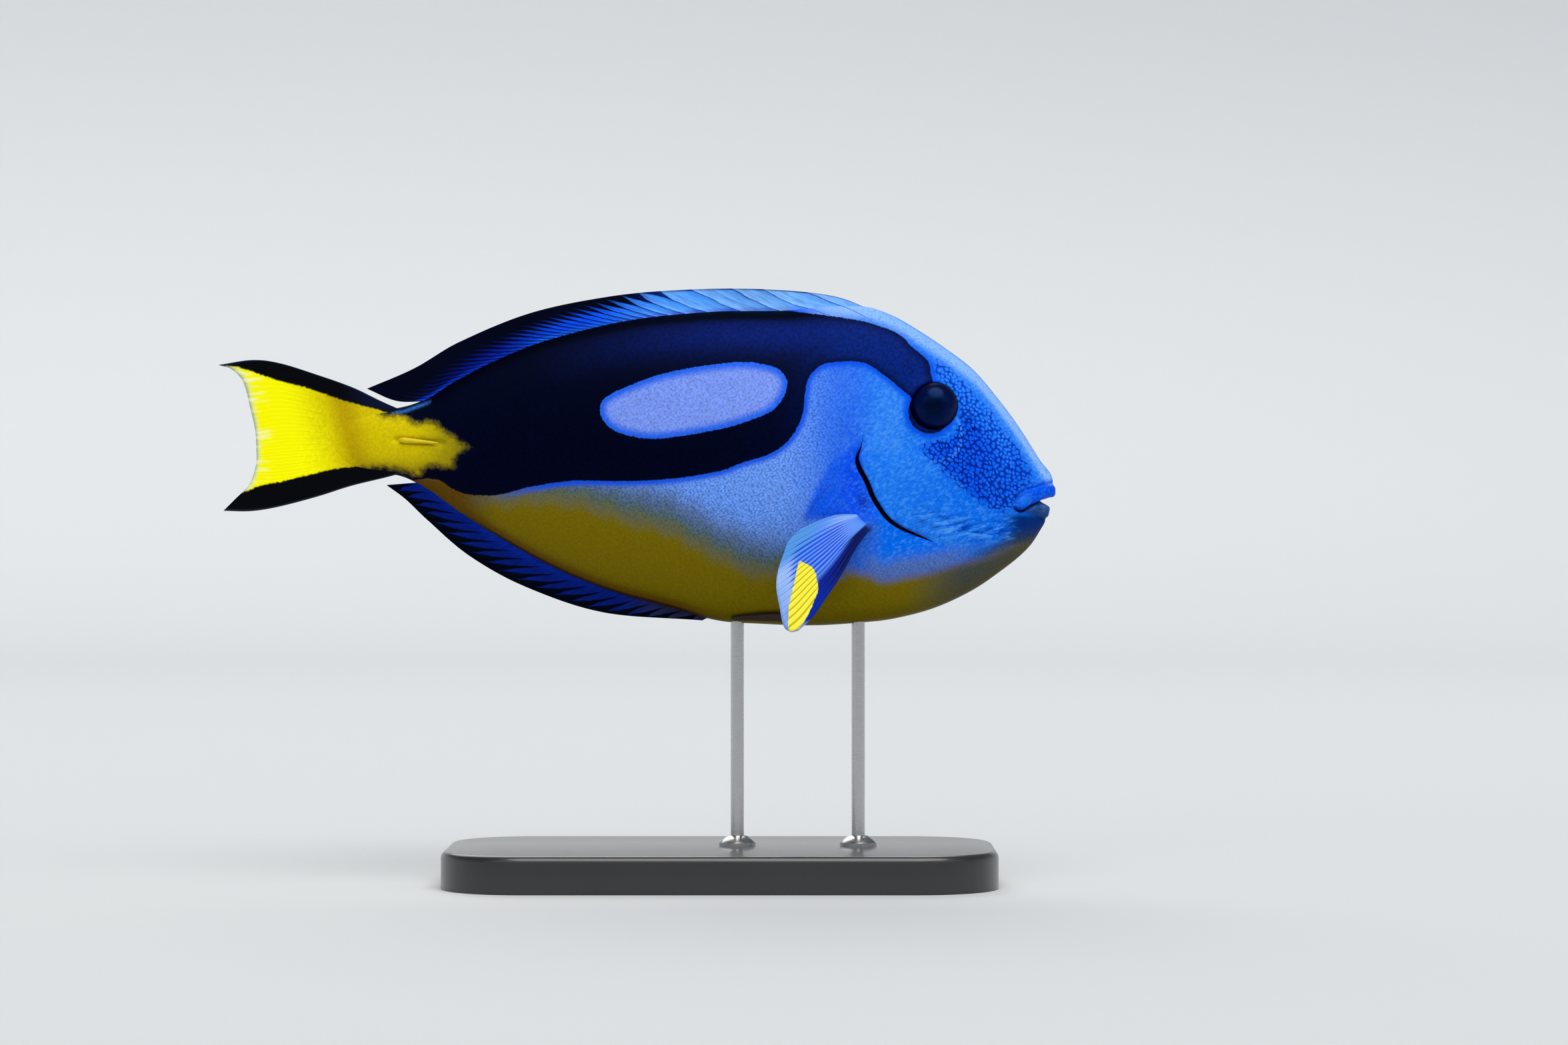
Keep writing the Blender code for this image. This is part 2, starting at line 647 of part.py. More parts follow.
def pectoral_y(x, z, across, along):
    """The right pectoral fin leans out from its root as it goes down, and is hollow towards the body."""
    out = math.hypot(x - PECTORAL["root"][1][1], z - PECTORAL["root"][1][2])
    arch = PECTORAL_CAMBER * math.sin(math.pi * across) * along
    return -(PECTORAL_ROOT_Y + PECTORAL_SPREAD * out + arch)


def pelvic_y(x, z, across, along):
    """The right pelvic fin lies folded against the belly, its root inside it."""
    free = min(1.0, along / 0.25)
    return -(skin_y(x, z) + PELVIC_LIFT * free - PELVIC_SUNK * (1 - free))


def make_fins(parts, finishes):
    plans = (
        ("dorsal_fin", DORSAL, flat_fin, None),
        ("anal_fin", ANAL, flat_fin, None),
        ("caudal_fin", CAUDAL, flat_fin, None),
        ("pectoral_fin_right", PECTORAL, pectoral_y, "pectoral_fin_left"),
        ("pelvic_fin_right", PELVIC, pelvic_y, "pelvic_fin_left"),
    )
    for name, plan, lateral, other_side in plans:
        fin = add_object(name, fin_form(name, plan, lateral), parts, finishes[name])
        combine(fin, [clear_body()], "DIFFERENCE", sharp_degrees=RIDGE_SHARP_DEGREES)
        if other_side:
            mirrored(other_side, fin, parts, finishes[name])


def main():
    for obj in list(bpy.data.objects):
        bpy.data.objects.remove(obj)
    parts = bpy.data.collections.new("regal_blue_tang")
    bpy.context.scene.collection.children.link(parts)
    face_blue = material("face_blue", (0.03, 0.19, 0.85), 0.35)
    flank_blue = material("flank_blue", (0.01, 0.05, 0.45), 0.35)
    tail_yellow = material("tail_yellow", (0.95, 0.80, 0.01), 0.4)
    fin_blue = material("fin_blue", (0.01, 0.09, 0.60), 0.35)
    eye_dark = material("eye_dark", (0.005, 0.006, 0.03), 0.05)
    base_black = material("base_black", (0.03, 0.03, 0.033), 0.35)
    steel = material("steel", (0.6, 0.6, 0.62), 0.3)
    steel.node_tree.nodes["Principled BSDF"].inputs["Metallic"].default_value = 1.0
    make_head(parts, face_blue)
    make_torso(parts, flank_blue)
    make_tail_stalk(parts, tail_yellow)
    make_spines(parts, tail_yellow)
    make_eyes(parts, eye_dark)
    fins = ("dorsal_fin", "anal_fin", "pectoral_fin_right", "pelvic_fin_right")
    make_fins(parts, {"caudal_fin": tail_yellow, **{name: fin_blue for name in fins}})
    make_stand(parts, base_black, steel)


main()
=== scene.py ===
import math
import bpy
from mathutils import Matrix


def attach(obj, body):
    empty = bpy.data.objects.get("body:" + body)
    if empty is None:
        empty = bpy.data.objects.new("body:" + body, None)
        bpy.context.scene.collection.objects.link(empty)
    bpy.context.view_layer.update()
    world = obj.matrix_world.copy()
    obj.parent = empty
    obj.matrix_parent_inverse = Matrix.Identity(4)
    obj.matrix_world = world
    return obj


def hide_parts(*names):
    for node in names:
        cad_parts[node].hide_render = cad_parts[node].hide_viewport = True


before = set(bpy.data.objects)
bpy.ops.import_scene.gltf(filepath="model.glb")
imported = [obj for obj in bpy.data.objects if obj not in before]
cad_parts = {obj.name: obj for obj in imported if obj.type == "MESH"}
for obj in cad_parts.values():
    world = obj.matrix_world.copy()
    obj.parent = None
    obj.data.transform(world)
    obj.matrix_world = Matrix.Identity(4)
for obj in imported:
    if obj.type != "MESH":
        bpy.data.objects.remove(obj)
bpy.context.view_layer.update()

import types

import bmesh
import bpy
import numpy as np
from mathutils import Vector

print("frame loaded:", len(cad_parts), "solids")

# Lengths below are millimetres; heights of the fish are counted from its long axis
mm = 0.001
axisHeight = 100.0

view = {
    "place": (35.2, -1045.0, 86.6),
    "lens": 100.0,
    "sensor": 36.0,
}

bodyPlan = {
    "snout": (99.9, -7.0),
    "back": [
        (99.9, -7.0), (99.75, -3.8), (99.2, -1.8), (98.0, -0.1), (96.6, 1.6), (93.8, 6.1), (87.0, 15.8),
        (80.8, 23.1), (74.4, 28.1), (68.0, 32.4), (61.4, 36.2), (55.0, 38.4), (47.0, 38.6),
        (35.8, 37.6), (16.6, 37.2), (-2.6, 35.1), (-21.8, 30.4), (-34.6, 25.3), (-44.2, 20.3),
        (-50.6, 16.3), (-57.0, 14.2), (-65.8, 13.4), (-74.0, 12.6),
    ],
    "belly": [
        (99.9, -7.0), (98.9, -8.6), (98.4, -11.0), (98.0, -12.8), (96.6, -15.4), (94.2, -19.0),
        (87.0, -25.2), (80.5, -29.6), (71.0, -34.0), (61.4, -36.5), (55.0, -37.3), (42.2, -38.1),
        (29.4, -37.7), (19.2, -36.9), (7.0, -33.6), (-5.8, -30.1), (-18.6, -25.0), (-31.4, -18.1),
        (-42.6, -11.0), (-50.6, -5.3), (-57.0, -2.2), (-65.8, -1.4), (-74.0, -0.6),
    ],
    "flank": [
        (99.9, 0.0), (99.2, 2.0), (96.6, 3.9), (93.4, 5.5), (87.0, 7.8), (80.6, 9.4), (71.0, 11.1),
        (63.0, 12.2), (55.0, 12.9), (43.0, 13.4), (30.0, 13.2), (16.0, 12.4), (0.0, 10.9), (-16.0, 8.8),
        (-30.0, 6.8), (-42.0, 5.1), (-50.0, 4.0), (-57.0, 3.1), (-65.8, 1.6), (-74.0, 0.25),
    ],
    "widest": [
        (99.9, -7.0), (87.0, -3.0), (71.0, 0.0), (55.0, 1.6), (30.0, 2.0), (0.0, 4.0), (-30.0, 5.5),
        (-74.0, 6.0),
    ],
    "backEdge": [(99.9, 0.9), (87.0, 0.95), (71.0, 1.0), (55.0, 1.15), (30.0, 1.25), (-74.0, 1.2)],
    "bellyEdge": [(99.9, 0.9), (71.0, 0.95), (40.0, 0.95), (10.0, 1.1), (-74.0, 1.2)],
}


def smoothCurve(knots, at):  # a smooth curve through (position, value) knots in rising order
    where = np.array([k[0] for k in knots], float)
    value = np.array([k[1] for k in knots], float)
    low = np.maximum(np.arange(len(knots)) - 1, 0)
    high = np.minimum(np.arange(len(knots)) + 1, len(knots) - 1)
    slope = (value[high] - value[low]) / (where[high] - where[low])
    at = np.clip(np.asarray(at, float), where[0], where[-1])
    i = np.clip(np.searchsorted(where, at, side="right") - 1, 0, len(knots) - 2)
    width = where[i + 1] - where[i]
    t = (at - where[i]) / width
    return (
        value[i] * (2 * t**3 - 3 * t**2 + 1)
        + slope[i] * width * (t**3 - 2 * t**2 + t)
        + value[i + 1] * (3 * t**2 - 2 * t**3)
        + slope[i + 1] * width * (t**3 - t**2)
    )


def smoothLine(points, steps=4, closed=False):  # (x, z) points along a smooth curve through a few
    points = list(points)
    if closed:
        points = points[-2:] + points + points[:2]
    shares = np.arange((len(points) - 1) * steps + 1) / steps
    if closed:
        shares = shares[2 * steps:-2 * steps + steps]
    x = smoothCurve([(i, p[0]) for i, p in enumerate(points)], shares)
    z = smoothCurve([(i, p[1]) for i, p in enumerate(points)], shares)
    line = np.stack([x, z], 1)
    return line[:-1] if closed else line


def soft(value, low, high):  # 0 below low, 1 above high, eased between
    t = np.clip((np.asarray(value, float) - low) / (high - low), 0, 1)
    return t * t * (3 - 2 * t)


def bell(value, width):
    return np.exp(-((np.asarray(value, float) / width) ** 2))


def noseWay(x):
    return np.sqrt(np.maximum(bodyPlan["snout"][0] - np.asarray(x, float), 0.0))


def alongBody(name, x):
    return smoothCurve([(float(noseWay(k)), value) for k, value in bodyPlan[name]], noseWay(x))


def section(x, angle):  # (y, z) of the plain body at x; the angle is 0 on the back, half a turn below
    upper = np.cos(angle)
    middle = alongBody("widest", x)
    reach = np.where(upper >= 0, alongBody("back", x) - middle, middle - alongBody("belly", x))
    edge = np.where(upper >= 0, alongBody("backEdge", x), alongBody("bellyEdge", x))
    y = np.sign(np.sin(angle)) * alongBody("flank", x) * np.abs(np.sin(angle)) ** edge
    return y, middle + reach * upper


def skinY(x, z):  # half width of the plain body at a point of its side view
    middle = alongBody("widest", x)
    outline = np.where(z >= middle, alongBody("back", x), alongBody("belly", x))
    edge = np.where(z >= middle, alongBody("backEdge", x), alongBody("bellyEdge", x))
    share = (z - middle) / (outline - middle)
    return alongBody("flank", x) * np.sqrt(np.maximum(1 - share**2, 0.0)) ** edge


def asSeen(x, y, z):  # the point of the fish's mid plane that a point of its flank covers in the photograph
    near = -view["place"][1] / (-view["place"][1] - np.abs(y))
    camX, camZ = view["place"][0], view["place"][2] - axisHeight
    return camX + (x - camX) * near, camZ + (z - camZ) * near


def insideOutline(outline, x, z):  # millimetres inside (+) or outside (-) a closed outline
    nearest = np.full(x.shape, 1e9)
    inside = np.zeros(x.shape, bool)
    for (ax, az), (bx, bz) in zip(outline, np.roll(outline, -1, axis=0)):
        dx, dz = bx - ax, bz - az
        t = np.clip(((x - ax) * dx + (z - az) * dz) / max(dx * dx + dz * dz, 1e-9), 0, 1)
        nearest = np.minimum(nearest, (x - ax - t * dx) ** 2 + (z - az - t * dz) ** 2)
        if dz:
            inside ^= ((az > z) != (bz > z)) & (x < ax + (z - az) * dx / dz)
    return np.sqrt(nearest) * np.where(inside, 1, -1)


def besideLine(line, x, z):  # millimetres to an open line, + on its left, and the share along it
    nearest = np.full(x.shape, 1e9)
    side = np.zeros(x.shape)
    share = np.zeros(x.shape)
    count = len(line) - 1
    for i in range(count):
        (ax, az), (bx, bz) = line[i], line[i + 1]
        dx, dz = bx - ax, bz - az
        t = np.clip(((x - ax) * dx + (z - az) * dz) / (dx * dx + dz * dz), 0, 1)
        far = (x - ax - t * dx) ** 2 + (z - az - t * dz) ** 2
        closer = far < nearest
        nearest = np.where(closer, far, nearest)
        side = np.where(closer, np.sign(dx * (z - az) - dz * (x - ax)), side)
        share = np.where(closer, (i + t) / count, share)
    return np.sqrt(nearest) * side, share


def srgb(tone):  # a colour as a screen shows it, 0 to 255, made linear
    values = np.array(tone) / 255
    return np.where(values <= 0.04045, values / 12.92, ((values + 0.055) / 1.055) ** 2.4)


class Paint:  # tones laid over each other by soft masks, one colour for each vertex
    def __init__(self, count, tones, ground):
        self.tones = tones
        self.colour = np.tile(srgb(tones[ground]), (count, 1))

    def lay(self, tone, mask):
        colour = srgb(self.tones[tone]) if isinstance(tone, str) else tone
        self.colour += np.clip(mask, 0, 1)[:, None] * (colour - self.colour)


def coordinates(mesh):
    co = np.empty(len(mesh.vertices) * 3, np.float32)
    mesh.vertices.foreach_get("co", co)
    return co.reshape(-1, 3).astype(float)


def setCoordinates(mesh, x, y, z):  # millimetres of the fish to metres above the floor
    co = np.stack([x, y, z + axisHeight], 1) * mm
    mesh.vertices.foreach_set("co", co.astype(np.float32).ravel())
    mesh.update()


def keep(mesh, **layers):  # a value or colour for each vertex, which the materials read by its name
    for name, values in layers.items():
        if np.ndim(values) == 2:
            full = np.concatenate([values, np.ones((len(values), 1))], 1).astype(np.float32)
            mesh.attributes.new(name, "FLOAT_COLOR", "POINT").data.foreach_set("color", full.ravel())
        else:
            full = np.broadcast_to(values, len(mesh.vertices)).astype(np.float32)
            mesh.attributes.new(name, "FLOAT", "POINT").data.foreach_set("value", full)


def sphereMesh(name, around, rings):
    shape = bmesh.new()
    bmesh.ops.create_uvsphere(shape, u_segments=around, v_segments=rings, radius=1.0)
    return finishMesh(shape, name)


def turnedShape(outline, steps):  # a bmesh spun about Z from (radius, height) points in metres
    shape = bmesh.new()
    verts = [shape.verts.new((radius, 0.0, height)) for radius, height in outline]
    edges = [shape.edges.new(pair) for pair in zip(verts, verts[1:])]
    bmesh.ops.spin(shape, geom=verts + edges, cent=(0, 0, 0), axis=(0, 0, 1), angle=2 * math.pi,
                   steps=steps, use_merge=True)
    bmesh.ops.remove_doubles(shape, verts=shape.verts, dist=1e-6)
    return shape


def finishMesh(shape, name):
    bmesh.ops.recalc_face_normals(shape, faces=shape.faces)
    if shape.calc_volume(signed=True) < 0:
        bmesh.ops.reverse_faces(shape, faces=shape.faces)
    mesh = bpy.data.meshes.new(name)
    shape.to_mesh(mesh)
    shape.free()
    return mesh


def facesOut(mesh):  # turns a mesh that was shaped inside out
    shape = bmesh.new()
    shape.from_mesh(mesh)
    if shape.calc_volume(signed=True) < 0:
        bmesh.ops.reverse_faces(shape, faces=shape.faces)
        shape.to_mesh(mesh)
    shape.free()


def addPiece(name, mesh, material, nodes):
    facesOut(mesh)
    mesh.shade_smooth()
    mesh.materials.append(material)
    mesh.name = name
    piece = bpy.data.objects.new(name, mesh)
    bpy.context.scene.collection.objects.link(piece)
    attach(piece, "root")
    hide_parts(*nodes)
    return piece


def refine(node, mesh, material):  # a piece in place of the one solid that it is named after
    return addPiece(node + "_fine", mesh, material, (node,))


# Material building

class Finish:  # a material and the nodes of its pattern
    def __init__(self, name, roughness, tones=None, coat=0.0, gloss=0.5, tint=(1.0, 1.0, 1.0)):
        self.material = bpy.data.materials.new(name)
        self.material.use_nodes = True
        self.tree = self.material.node_tree
        self.tones = tones
        self.dress({"Roughness": roughness, "Coat Weight": coat, "Coat Roughness": 0.12})
        self.dress({"Specular IOR Level": gloss, "Specular Tint": tint})

    def feed(self, socket, value):
        if isinstance(value, Field):
            self.tree.links.new(value.socket, socket)
        elif hasattr(value, "__len__"):
            socket.default_value = (*value[:3], 1.0) if len(socket.default_value) == 4 else tuple(value)
        else:
            socket.default_value = value

    def dress(self, inputs):  # what the shader's own sockets get
        for name, value in inputs.items():
            self.feed(self.tree.nodes["Principled BSDF"].inputs[name], value)
        return self.material

    def node(self, kind, output, inputs, **settings):
        node = self.tree.nodes.new("ShaderNode" + kind)
        for name, value in settings.items():
            setattr(node, name, value)
        for name, value in inputs.items():
            self.feed(node.inputs[name], value)
        return Field(self, node.outputs[output])

    def math(self, operation, a, b):
        return self.node("Math", 0, {0: a, 1: b}, operation=operation)

    def mix(self, share, a, b, mode="MIX"):
        a, b = (srgb(self.tones[tone]) if isinstance(tone, str) else tone for tone in (a, b))
        return self.node("Mix", 2, {0: share, 6: a, 7: b}, data_type="RGBA", blend_type=mode)

    def read(self, name, output="Fac"):  # what keep() stored
        return self.node("Attribute", output, {}, attribute_name=name)

    def mapped(self, vector, turn, stretch):  # stretched along axes that are turned first
        inputs = {"Vector": vector, "Rotation": turn, "Scale": stretch}
        return self.node("Mapping", "Vector", inputs, vector_type="TEXTURE")

    def place(self, stretch=(1.0, 1.0, 1.0), turn=0.0):  # object coordinates, the axes turned about Y
        return self.mapped(self.node("TexCoord", "Object", {}), (0.0, turn, 0.0), stretch)

    def noise(self, vector, size, detail=3.0, roughness=0.5):  # size is one wave in millimetres
        inputs = {"Vector": vector, "Scale": 1 / (size * mm), "Detail": detail, "Roughness": roughness}
        return self.node("TexNoise", "Fac", inputs)

    def cells(self, vector, size, randomness, kind="F1"):  # distance from a flat cell's centre, or its edge
        inputs = {"Vector": vector, "Scale": 1 / size, "Randomness": randomness}
        return self.node("TexVoronoi", "Distance", inputs, voronoi_dimensions="2D", feature=kind)

    def warped(self, vector, size, amount):  # the vector pushed about by a noise, in its own units
        push = self.node("TexNoise", "Color", {"Vector": vector, "Scale": 1 / size})
        inputs = {0: push, 1: (amount, amount, 0.0), 2: vector}
        return self.node("VectorMath", "Vector", inputs, operation="MULTIPLY_ADD")

    def bump(self, height, distance, strength, under=None):  # distance in millimetres
        inputs = {"Strength": strength, "Distance": distance * mm, "Height": height}
        if under:
            inputs["Normal"] = under
        return self.node("Bump", "Normal", inputs)


class Field:  # a value or colour over the surface; arithmetic with fields adds nodes
    def __init__(self, finish, socket):
        self.finish = finish
        self.socket = socket

    def op(self, operation, other=0.0):
        return self.finish.math(operation, self, other)

    def __add__(self, other):
        return self.op("ADD", other)

    def __sub__(self, other):
        return self.op("SUBTRACT", other)

    def __rsub__(self, other):
        return self.finish.math("SUBTRACT", other, self)

    def __mul__(self, other):
        return self.op("MULTIPLY", other)

    def __abs__(self):
        return self.op("ABSOLUTE")

    def ramp(self, low, high, toLow=0.0, toHigh=1.0):  # eased from toLow to toHigh
        inputs = {"Value": self, "From Min": low, "From Max": high, "To Min": toLow, "To Max": toHigh}
        return self.finish.node("MapRange", "Result", inputs, interpolation_type="SMOOTHSTEP")

    def lay(self, tone, mask):  # another colour over this one
        return self.finish.mix(mask, self, tone)

    def shade(self, value):  # this colour times a value about 1
        return self.finish.mix(1.0, self, value, "MULTIPLY")


# Body skin

marks = {
    # dark band: from the eye along the back to the tail, then the hooked lower branch back to the eye
    "band": [
        (70.6, 19.6), (70.4, 22.4), (69.6, 25.6), (65.8, 28.8), (63.4, 31.4), (59.4, 33.3),
        (54.7, 34.8), (49.0, 35.8), (42.9, 36.6), (35.8, 37.6), (25.0, 40.0), (0.0, 46.0),
        (-40.0, 46.0), (-80.0, 40.0), (-80.0, -16.0), (-66.0, -12.0), (-58.0, -6.0), (-54.0, -3.4),
        (-50.5, -2.9), (-47.4, -3.3), (-45.2, -4.8), (-41.6, -6.5), (-37.1, -6.9), (-32.8, -6.7),
        (-25.3, -4.8), (-15.5, -3.4), (-2.6, -3.5), (8.5, -2.9), (19.7, -1.1), (25.3, 1.0), (31.0, 2.7),
        (35.4, 5.4), (38.3, 9.2), (39.8, 13.2), (40.3, 18.2), (41.3, 21.6), (44.0, 24.3), (47.7, 25.1),
        (52.4, 25.2), (56.0, 24.2), (61.3, 20.3), (65.4, 16.8), (67.6, 14.6),
    ],
    "oval": [
        (-9.0, 13.9), (-8.2, 16.0), (-5.4, 17.9), (-1.0, 19.8), (5.4, 22.1), (13.4, 23.8), (19.8, 24.7),
        (25.3, 25.1), (30.2, 24.6), (33.9, 23.4), (35.8, 21.0), (35.7, 18.4), (34.6, 16.0),
        (32.3, 13.4), (27.8, 11.4), (21.4, 9.4), (13.4, 7.8), (4.6, 6.7), (-1.8, 7.4), (-6.2, 9.1),
        (-8.3, 11.4),
    ],
    "tailWedge": [
        (-80.0, 26.0), (-70.4, 20.0), (-65.9, 16.8), (-62.6, 14.2), (-60.5, 12.6), (-57.0, 12.7),
        (-55.0, 12.2), (-53.8, 11.0), (-52.3, 10.7), (-51.0, 11.4), (-48.8, 11.0), (-47.4, 10.2),
        (-46.1, 9.1), (-43.4, 7.4), (-42.1, 6.1), (-39.8, 4.6), (-41.6, 3.8), (-43.4, 1.9),
        (-43.8, -0.4), (-46.6, -0.5), (-49.0, -0.2), (-51.0, -0.8), (-52.0, -2.4), (-54.2, -2.1),
        (-58.7, -0.9), (-63.7, -0.6), (-68.2, -1.6), (-80.0, -6.0),
    ],
    "bellyTop": [
        (-45.0, -7.5), (-37.1, -7.2), (-31.4, -7.2), (-25.0, -6.8), (-15.4, -7.6), (-9.0, -9.3),
        (-2.6, -11.6), (7.0, -14.2), (16.6, -19.2), (23.0, -22.4), (29.4, -24.8), (33.4, -24.3),
        (43.8, -25.0), (55.0, -25.1), (58.2, -26.9), (64.6, -25.9), (71.0, -24.8), (77.4, -23.2),
        (83.8, -21.6), (88.6, -19.5), (99.0, -17.0),
    ],
    "gill": [
        (54.7, 8.0), (54.1, 4.8), (53.2, 2.2), (53.6, 0.0), (55.4, -3.4), (56.8, -6.9), (58.6, -9.9),
        (60.5, -12.3), (63.5, -14.4), (66.4, -15.7), (69.0, -16.8), (71.7, -17.9),
    ],
    "net": [
        (71.4, 25.4), (75.0, 23.6), (79.0, 19.4), (82.8, 15.4), (87.4, 9.8), (91.6, 3.4), (94.6, -2.0),
        (92.2, -5.4), (90.0, -9.0), (87.8, -10.8), (83.8, -9.2), (79.8, -6.8), (75.8, -3.0),
        (71.0, 1.4), (68.0, 4.4), (71.0, 5.9), (75.0, 6.9), (77.0, 9.6), (76.9, 13.4), (75.4, 17.0),
        (72.2, 20.6),
    ],
    "pocket": [
        (46.0, 0.5), (50.5, 4.0), (54.5, 6.0), (54.0, 0.0), (57.0, -7.0), (60.0, -12.0), (52.0, -12.5),
        (44.0, -12.5), (40.0, -12.4), (42.0, -7.0),
    ],
    "mouth": [
        (90.5, -9.8), (91.2, -10.4), (92.2, -10.7), (93.2, -10.4), (94.5, -9.5), (96.0, -8.9),
        (97.2, -8.7), (98.4, -8.6), (104.0, -8.4),
    ],
    "upperLip": [
        (90.5, -9.8), (90.8, -8.3), (91.6, -7.0), (93.1, -5.9), (95.5, -5.2), (98.0, -4.6),
        (104.0, -4.0), (104.0, -7.0), (99.5, -7.4), (97.7, -7.9), (96.0, -8.6), (94.5, -9.2),
        (93.1, -10.2), (91.9, -10.5),
    ],
    "lowerLip": [
        (92.3, -10.9), (93.6, -10.4), (95.2, -9.4), (97.0, -8.9), (98.0, -8.9), (104.0, -8.8),
        (104.0, -12.4), (98.4, -12.4), (97.3, -12.3), (95.8, -11.6), (93.6, -11.1),
    ],
    "gillTop": (57.0, 40.0),
    "pocketCrease": [(45.9, -4.0), (43.0, -8.5), (40.0, -12.8)],
    # line of the painted shade above the upper lip
    "lipTop": [(94.0, -5.0), (99.6, -3.6)],
    "stalkStreak": [(-59.0, 13.0), (-56.0, 13.2), (-50.0, 15.4)],
    "throatFold": [(68.0, -12.4), (76.0, -14.4), (84.0, -15.2), (90.0, -15.0)],
    "eyeShade": (70.2, 13.1, 5.2),  # x, z and radius
    "nostrils": [(79.4, 11.2, 0.5), (80.3, 8.9, 0.38)],
}


def markSide(name, x, z):  # millimetres to an open marking, + on its left, and the share along it
    return besideLine(smoothLine(marks[name]), x, z)


def inMark(name, x, z):  # millimetres inside (+) or outside (-) a closed marking
    return insideOutline(smoothLine(marks[name], closed=True), x, z)


eyePlan = {
    "centre": (70.8, 7.6, 14.2),
    "radius": 6.0,
    "depth": 5.0,
}

skinPlan = {
    "around": 184,
    "stretches": [(88.0, 36), (49.0, 78), (-66.0, 136), (-74.0, 8)],  # where each ends, its number of rings
    "eyeShare": 0.313,
    "tailPole": (-74.3, 6.0),
}


def skinRings():  # the places of the rings, from the snout's tip to the end inside the tail fin
    tip = bodyPlan["snout"][0]
    end, count = skinPlan["stretches"][0]
    rings = [tip - (tip - end) * (i / count) ** 2 for i in range(count + 1)]
    for end, count in skinPlan["stretches"][1:]:
        start = rings[-1]
        rings += [start + (end - start) * i / count for i in range(1, count + 1)]
    return np.array(rings + [skinPlan["tailPole"][0]])


def spreadAngles(angle, x):  # moves a ring's vertices from its narrow edges to the flank, most to the eye
    share = np.abs(angle) / math.pi
    off = (share - skinPlan["eyeShare"]) / 0.16
    crowd = 0.45 * bell(x - eyePlan["centre"][0], 13.0)
    share = np.clip(share - crowd * bell(off, 1.0) * (share - skinPlan["eyeShare"]), 0, 1)
    even = np.arccos(np.clip(1 - 2 * share, -1, 1))
    return np.sign(angle) * (0.5 * math.pi * share + 0.5 * even)


def skinPlace(mesh):  # where each vertex of the unit sphere lies on the plain body: x, y, z and its angle
    co = coordinates(mesh)
    rings = skinRings()
    polar = np.arctan2(np.hypot(co[:, 0], co[:, 1]), co[:, 2]) / math.pi * (len(rings) - 1)
    x = np.interp(polar, np.arange(len(rings)), rings)
    angle = spreadAngles(np.arctan2(co[:, 0], co[:, 1]), x)
    y, z = section(x, angle)
    end = polar > len(rings) - 1.001
    return x, np.where(end, 0.0, y), np.where(end, skinPlan["tailPole"][1], z), angle


def girthWay(x, angle, steps=20):  # millimetres round the body from mid flank, + towards the back
    way = np.zeros(x.shape)
    turn = np.full(x.shape, math.pi / 2)
    step = (np.abs(angle) - turn) / steps
    before = section(x, turn)
    for _ in range(steps):
        turn = turn + step
        after = section(x, turn)
        way += np.hypot(after[0] - before[0], after[1] - before[1])
        before = after
    return way * np.sign(math.pi / 2 - np.abs(angle))


def detailWanted(x, y, z, level):  # where the skin's faces are split once more, at two levels
    seenX, seenZ = asSeen(x, y, z)
    gill = markSide("gill", seenX, seenZ)[0]
    mouth = markSide("mouth", seenX, seenZ)[0]
    eyeX, _, eyeZ = eyePlan["centre"]
    wanted = (np.abs(gill + 0.2) < (2.4, 1.2)[level]) & (seenX > 50) & (seenX < 73)
    wanted |= np.abs(np.hypot(x - eyeX, z - eyeZ) - eyePlan["radius"]) < (2.2, 0.0)[level]
    wanted |= (np.abs(seenZ + 8.4) < (5.2, 0.0)[level]) & (seenX > 89.5)
    wanted |= (np.abs(mouth) < (0.0, 1.3)[level]) & (seenX > 89.8)
    wanted |= np.hypot(x - 79.9, z - 10.0) < (2.8, 2.4)[level]
    wanted |= (np.abs(z - 6.0) < (2.4, 0.0)[level]) & (np.abs(x + 52.0) < 7.5)
    return wanted


def relief(x, y, z):  # how far the skin stands out from the plain body, in millimetres
    seenX, seenZ = asSeen(x, y, z)
    gill, gillShare = markSide("gill", seenX, seenZ)
    slit = soft(gillShare, 0.02, 0.25) * soft(gillShare, 1.0, 0.75)
    high = 0.7 * slit * soft(gill, -0.25, 0.45) * np.exp(-np.maximum(gill, 0) / 12)
    high -= 1.0 * slit * bell(gill + 0.45, 0.42)
    eyeX, _, eyeZ = eyePlan["centre"]
    fromEye = np.hypot(x - eyeX, z - eyeZ)
    brow = 0.12 + 0.22 * soft(z - eyeZ, -4, 5)
    high += brow * bell(fromEye - 6.2, 0.9) - 2.6 * soft(fromEye, 5.75, 4.9)
    for nostrilX, nostrilZ, radius in marks["nostrils"]:
        away = np.hypot(x - nostrilX, z - nostrilZ)
        high += 0.2 * bell(away - radius * 1.8, 0.35) - 0.8 * bell(away, radius)
    front = soft(seenX, 89.0, 91.5)
    upper = inMark("upperLip", seenX, seenZ)
    lower = inMark("lowerLip", seenX, seenZ)
    mouth = markSide("mouth", seenX, seenZ)[0]
    swell = 0.45 + 0.25 * soft(seenX, 97, 94)
    groove = 0.15 + 0.3 * soft(seenX, 98, 95)
    high += front * (swell * soft(upper, -0.15, 1.0) + 0.4 * soft(lower, -0.1, 0.9))
    high -= front * (groove * bell(upper + 0.25, 0.3) + 0.3 * bell(lower + 0.2, 0.3))
    depth = 0.4 + 2.0 * soft(seenX, 95.0, 98.4)
    width = 0.26 + 0.4 * soft(seenX, 95.0, 98.5)
    high -= front * depth * bell(mouth, width)
    spineLine = np.array([spinePlan["root"], spinePlan["tip"]]) + [(-0.6, 0.0), (0.8, 0.0)]
    high -= 0.75 * bell(besideLine(spineLine, x, z)[0], 0.8)
    high += 0.8 * bell(np.hypot(x - 56.2, (z + 12.6) * 1.1), 3.6)  # the root of the pectoral fin
    return high


goldTones = {
    "stalk": (212, 192, 2), "front": (132, 120, 10), "low": (150, 128, 5), "root": (178, 148, 1),
    "tail": (255, 252, 0),
}

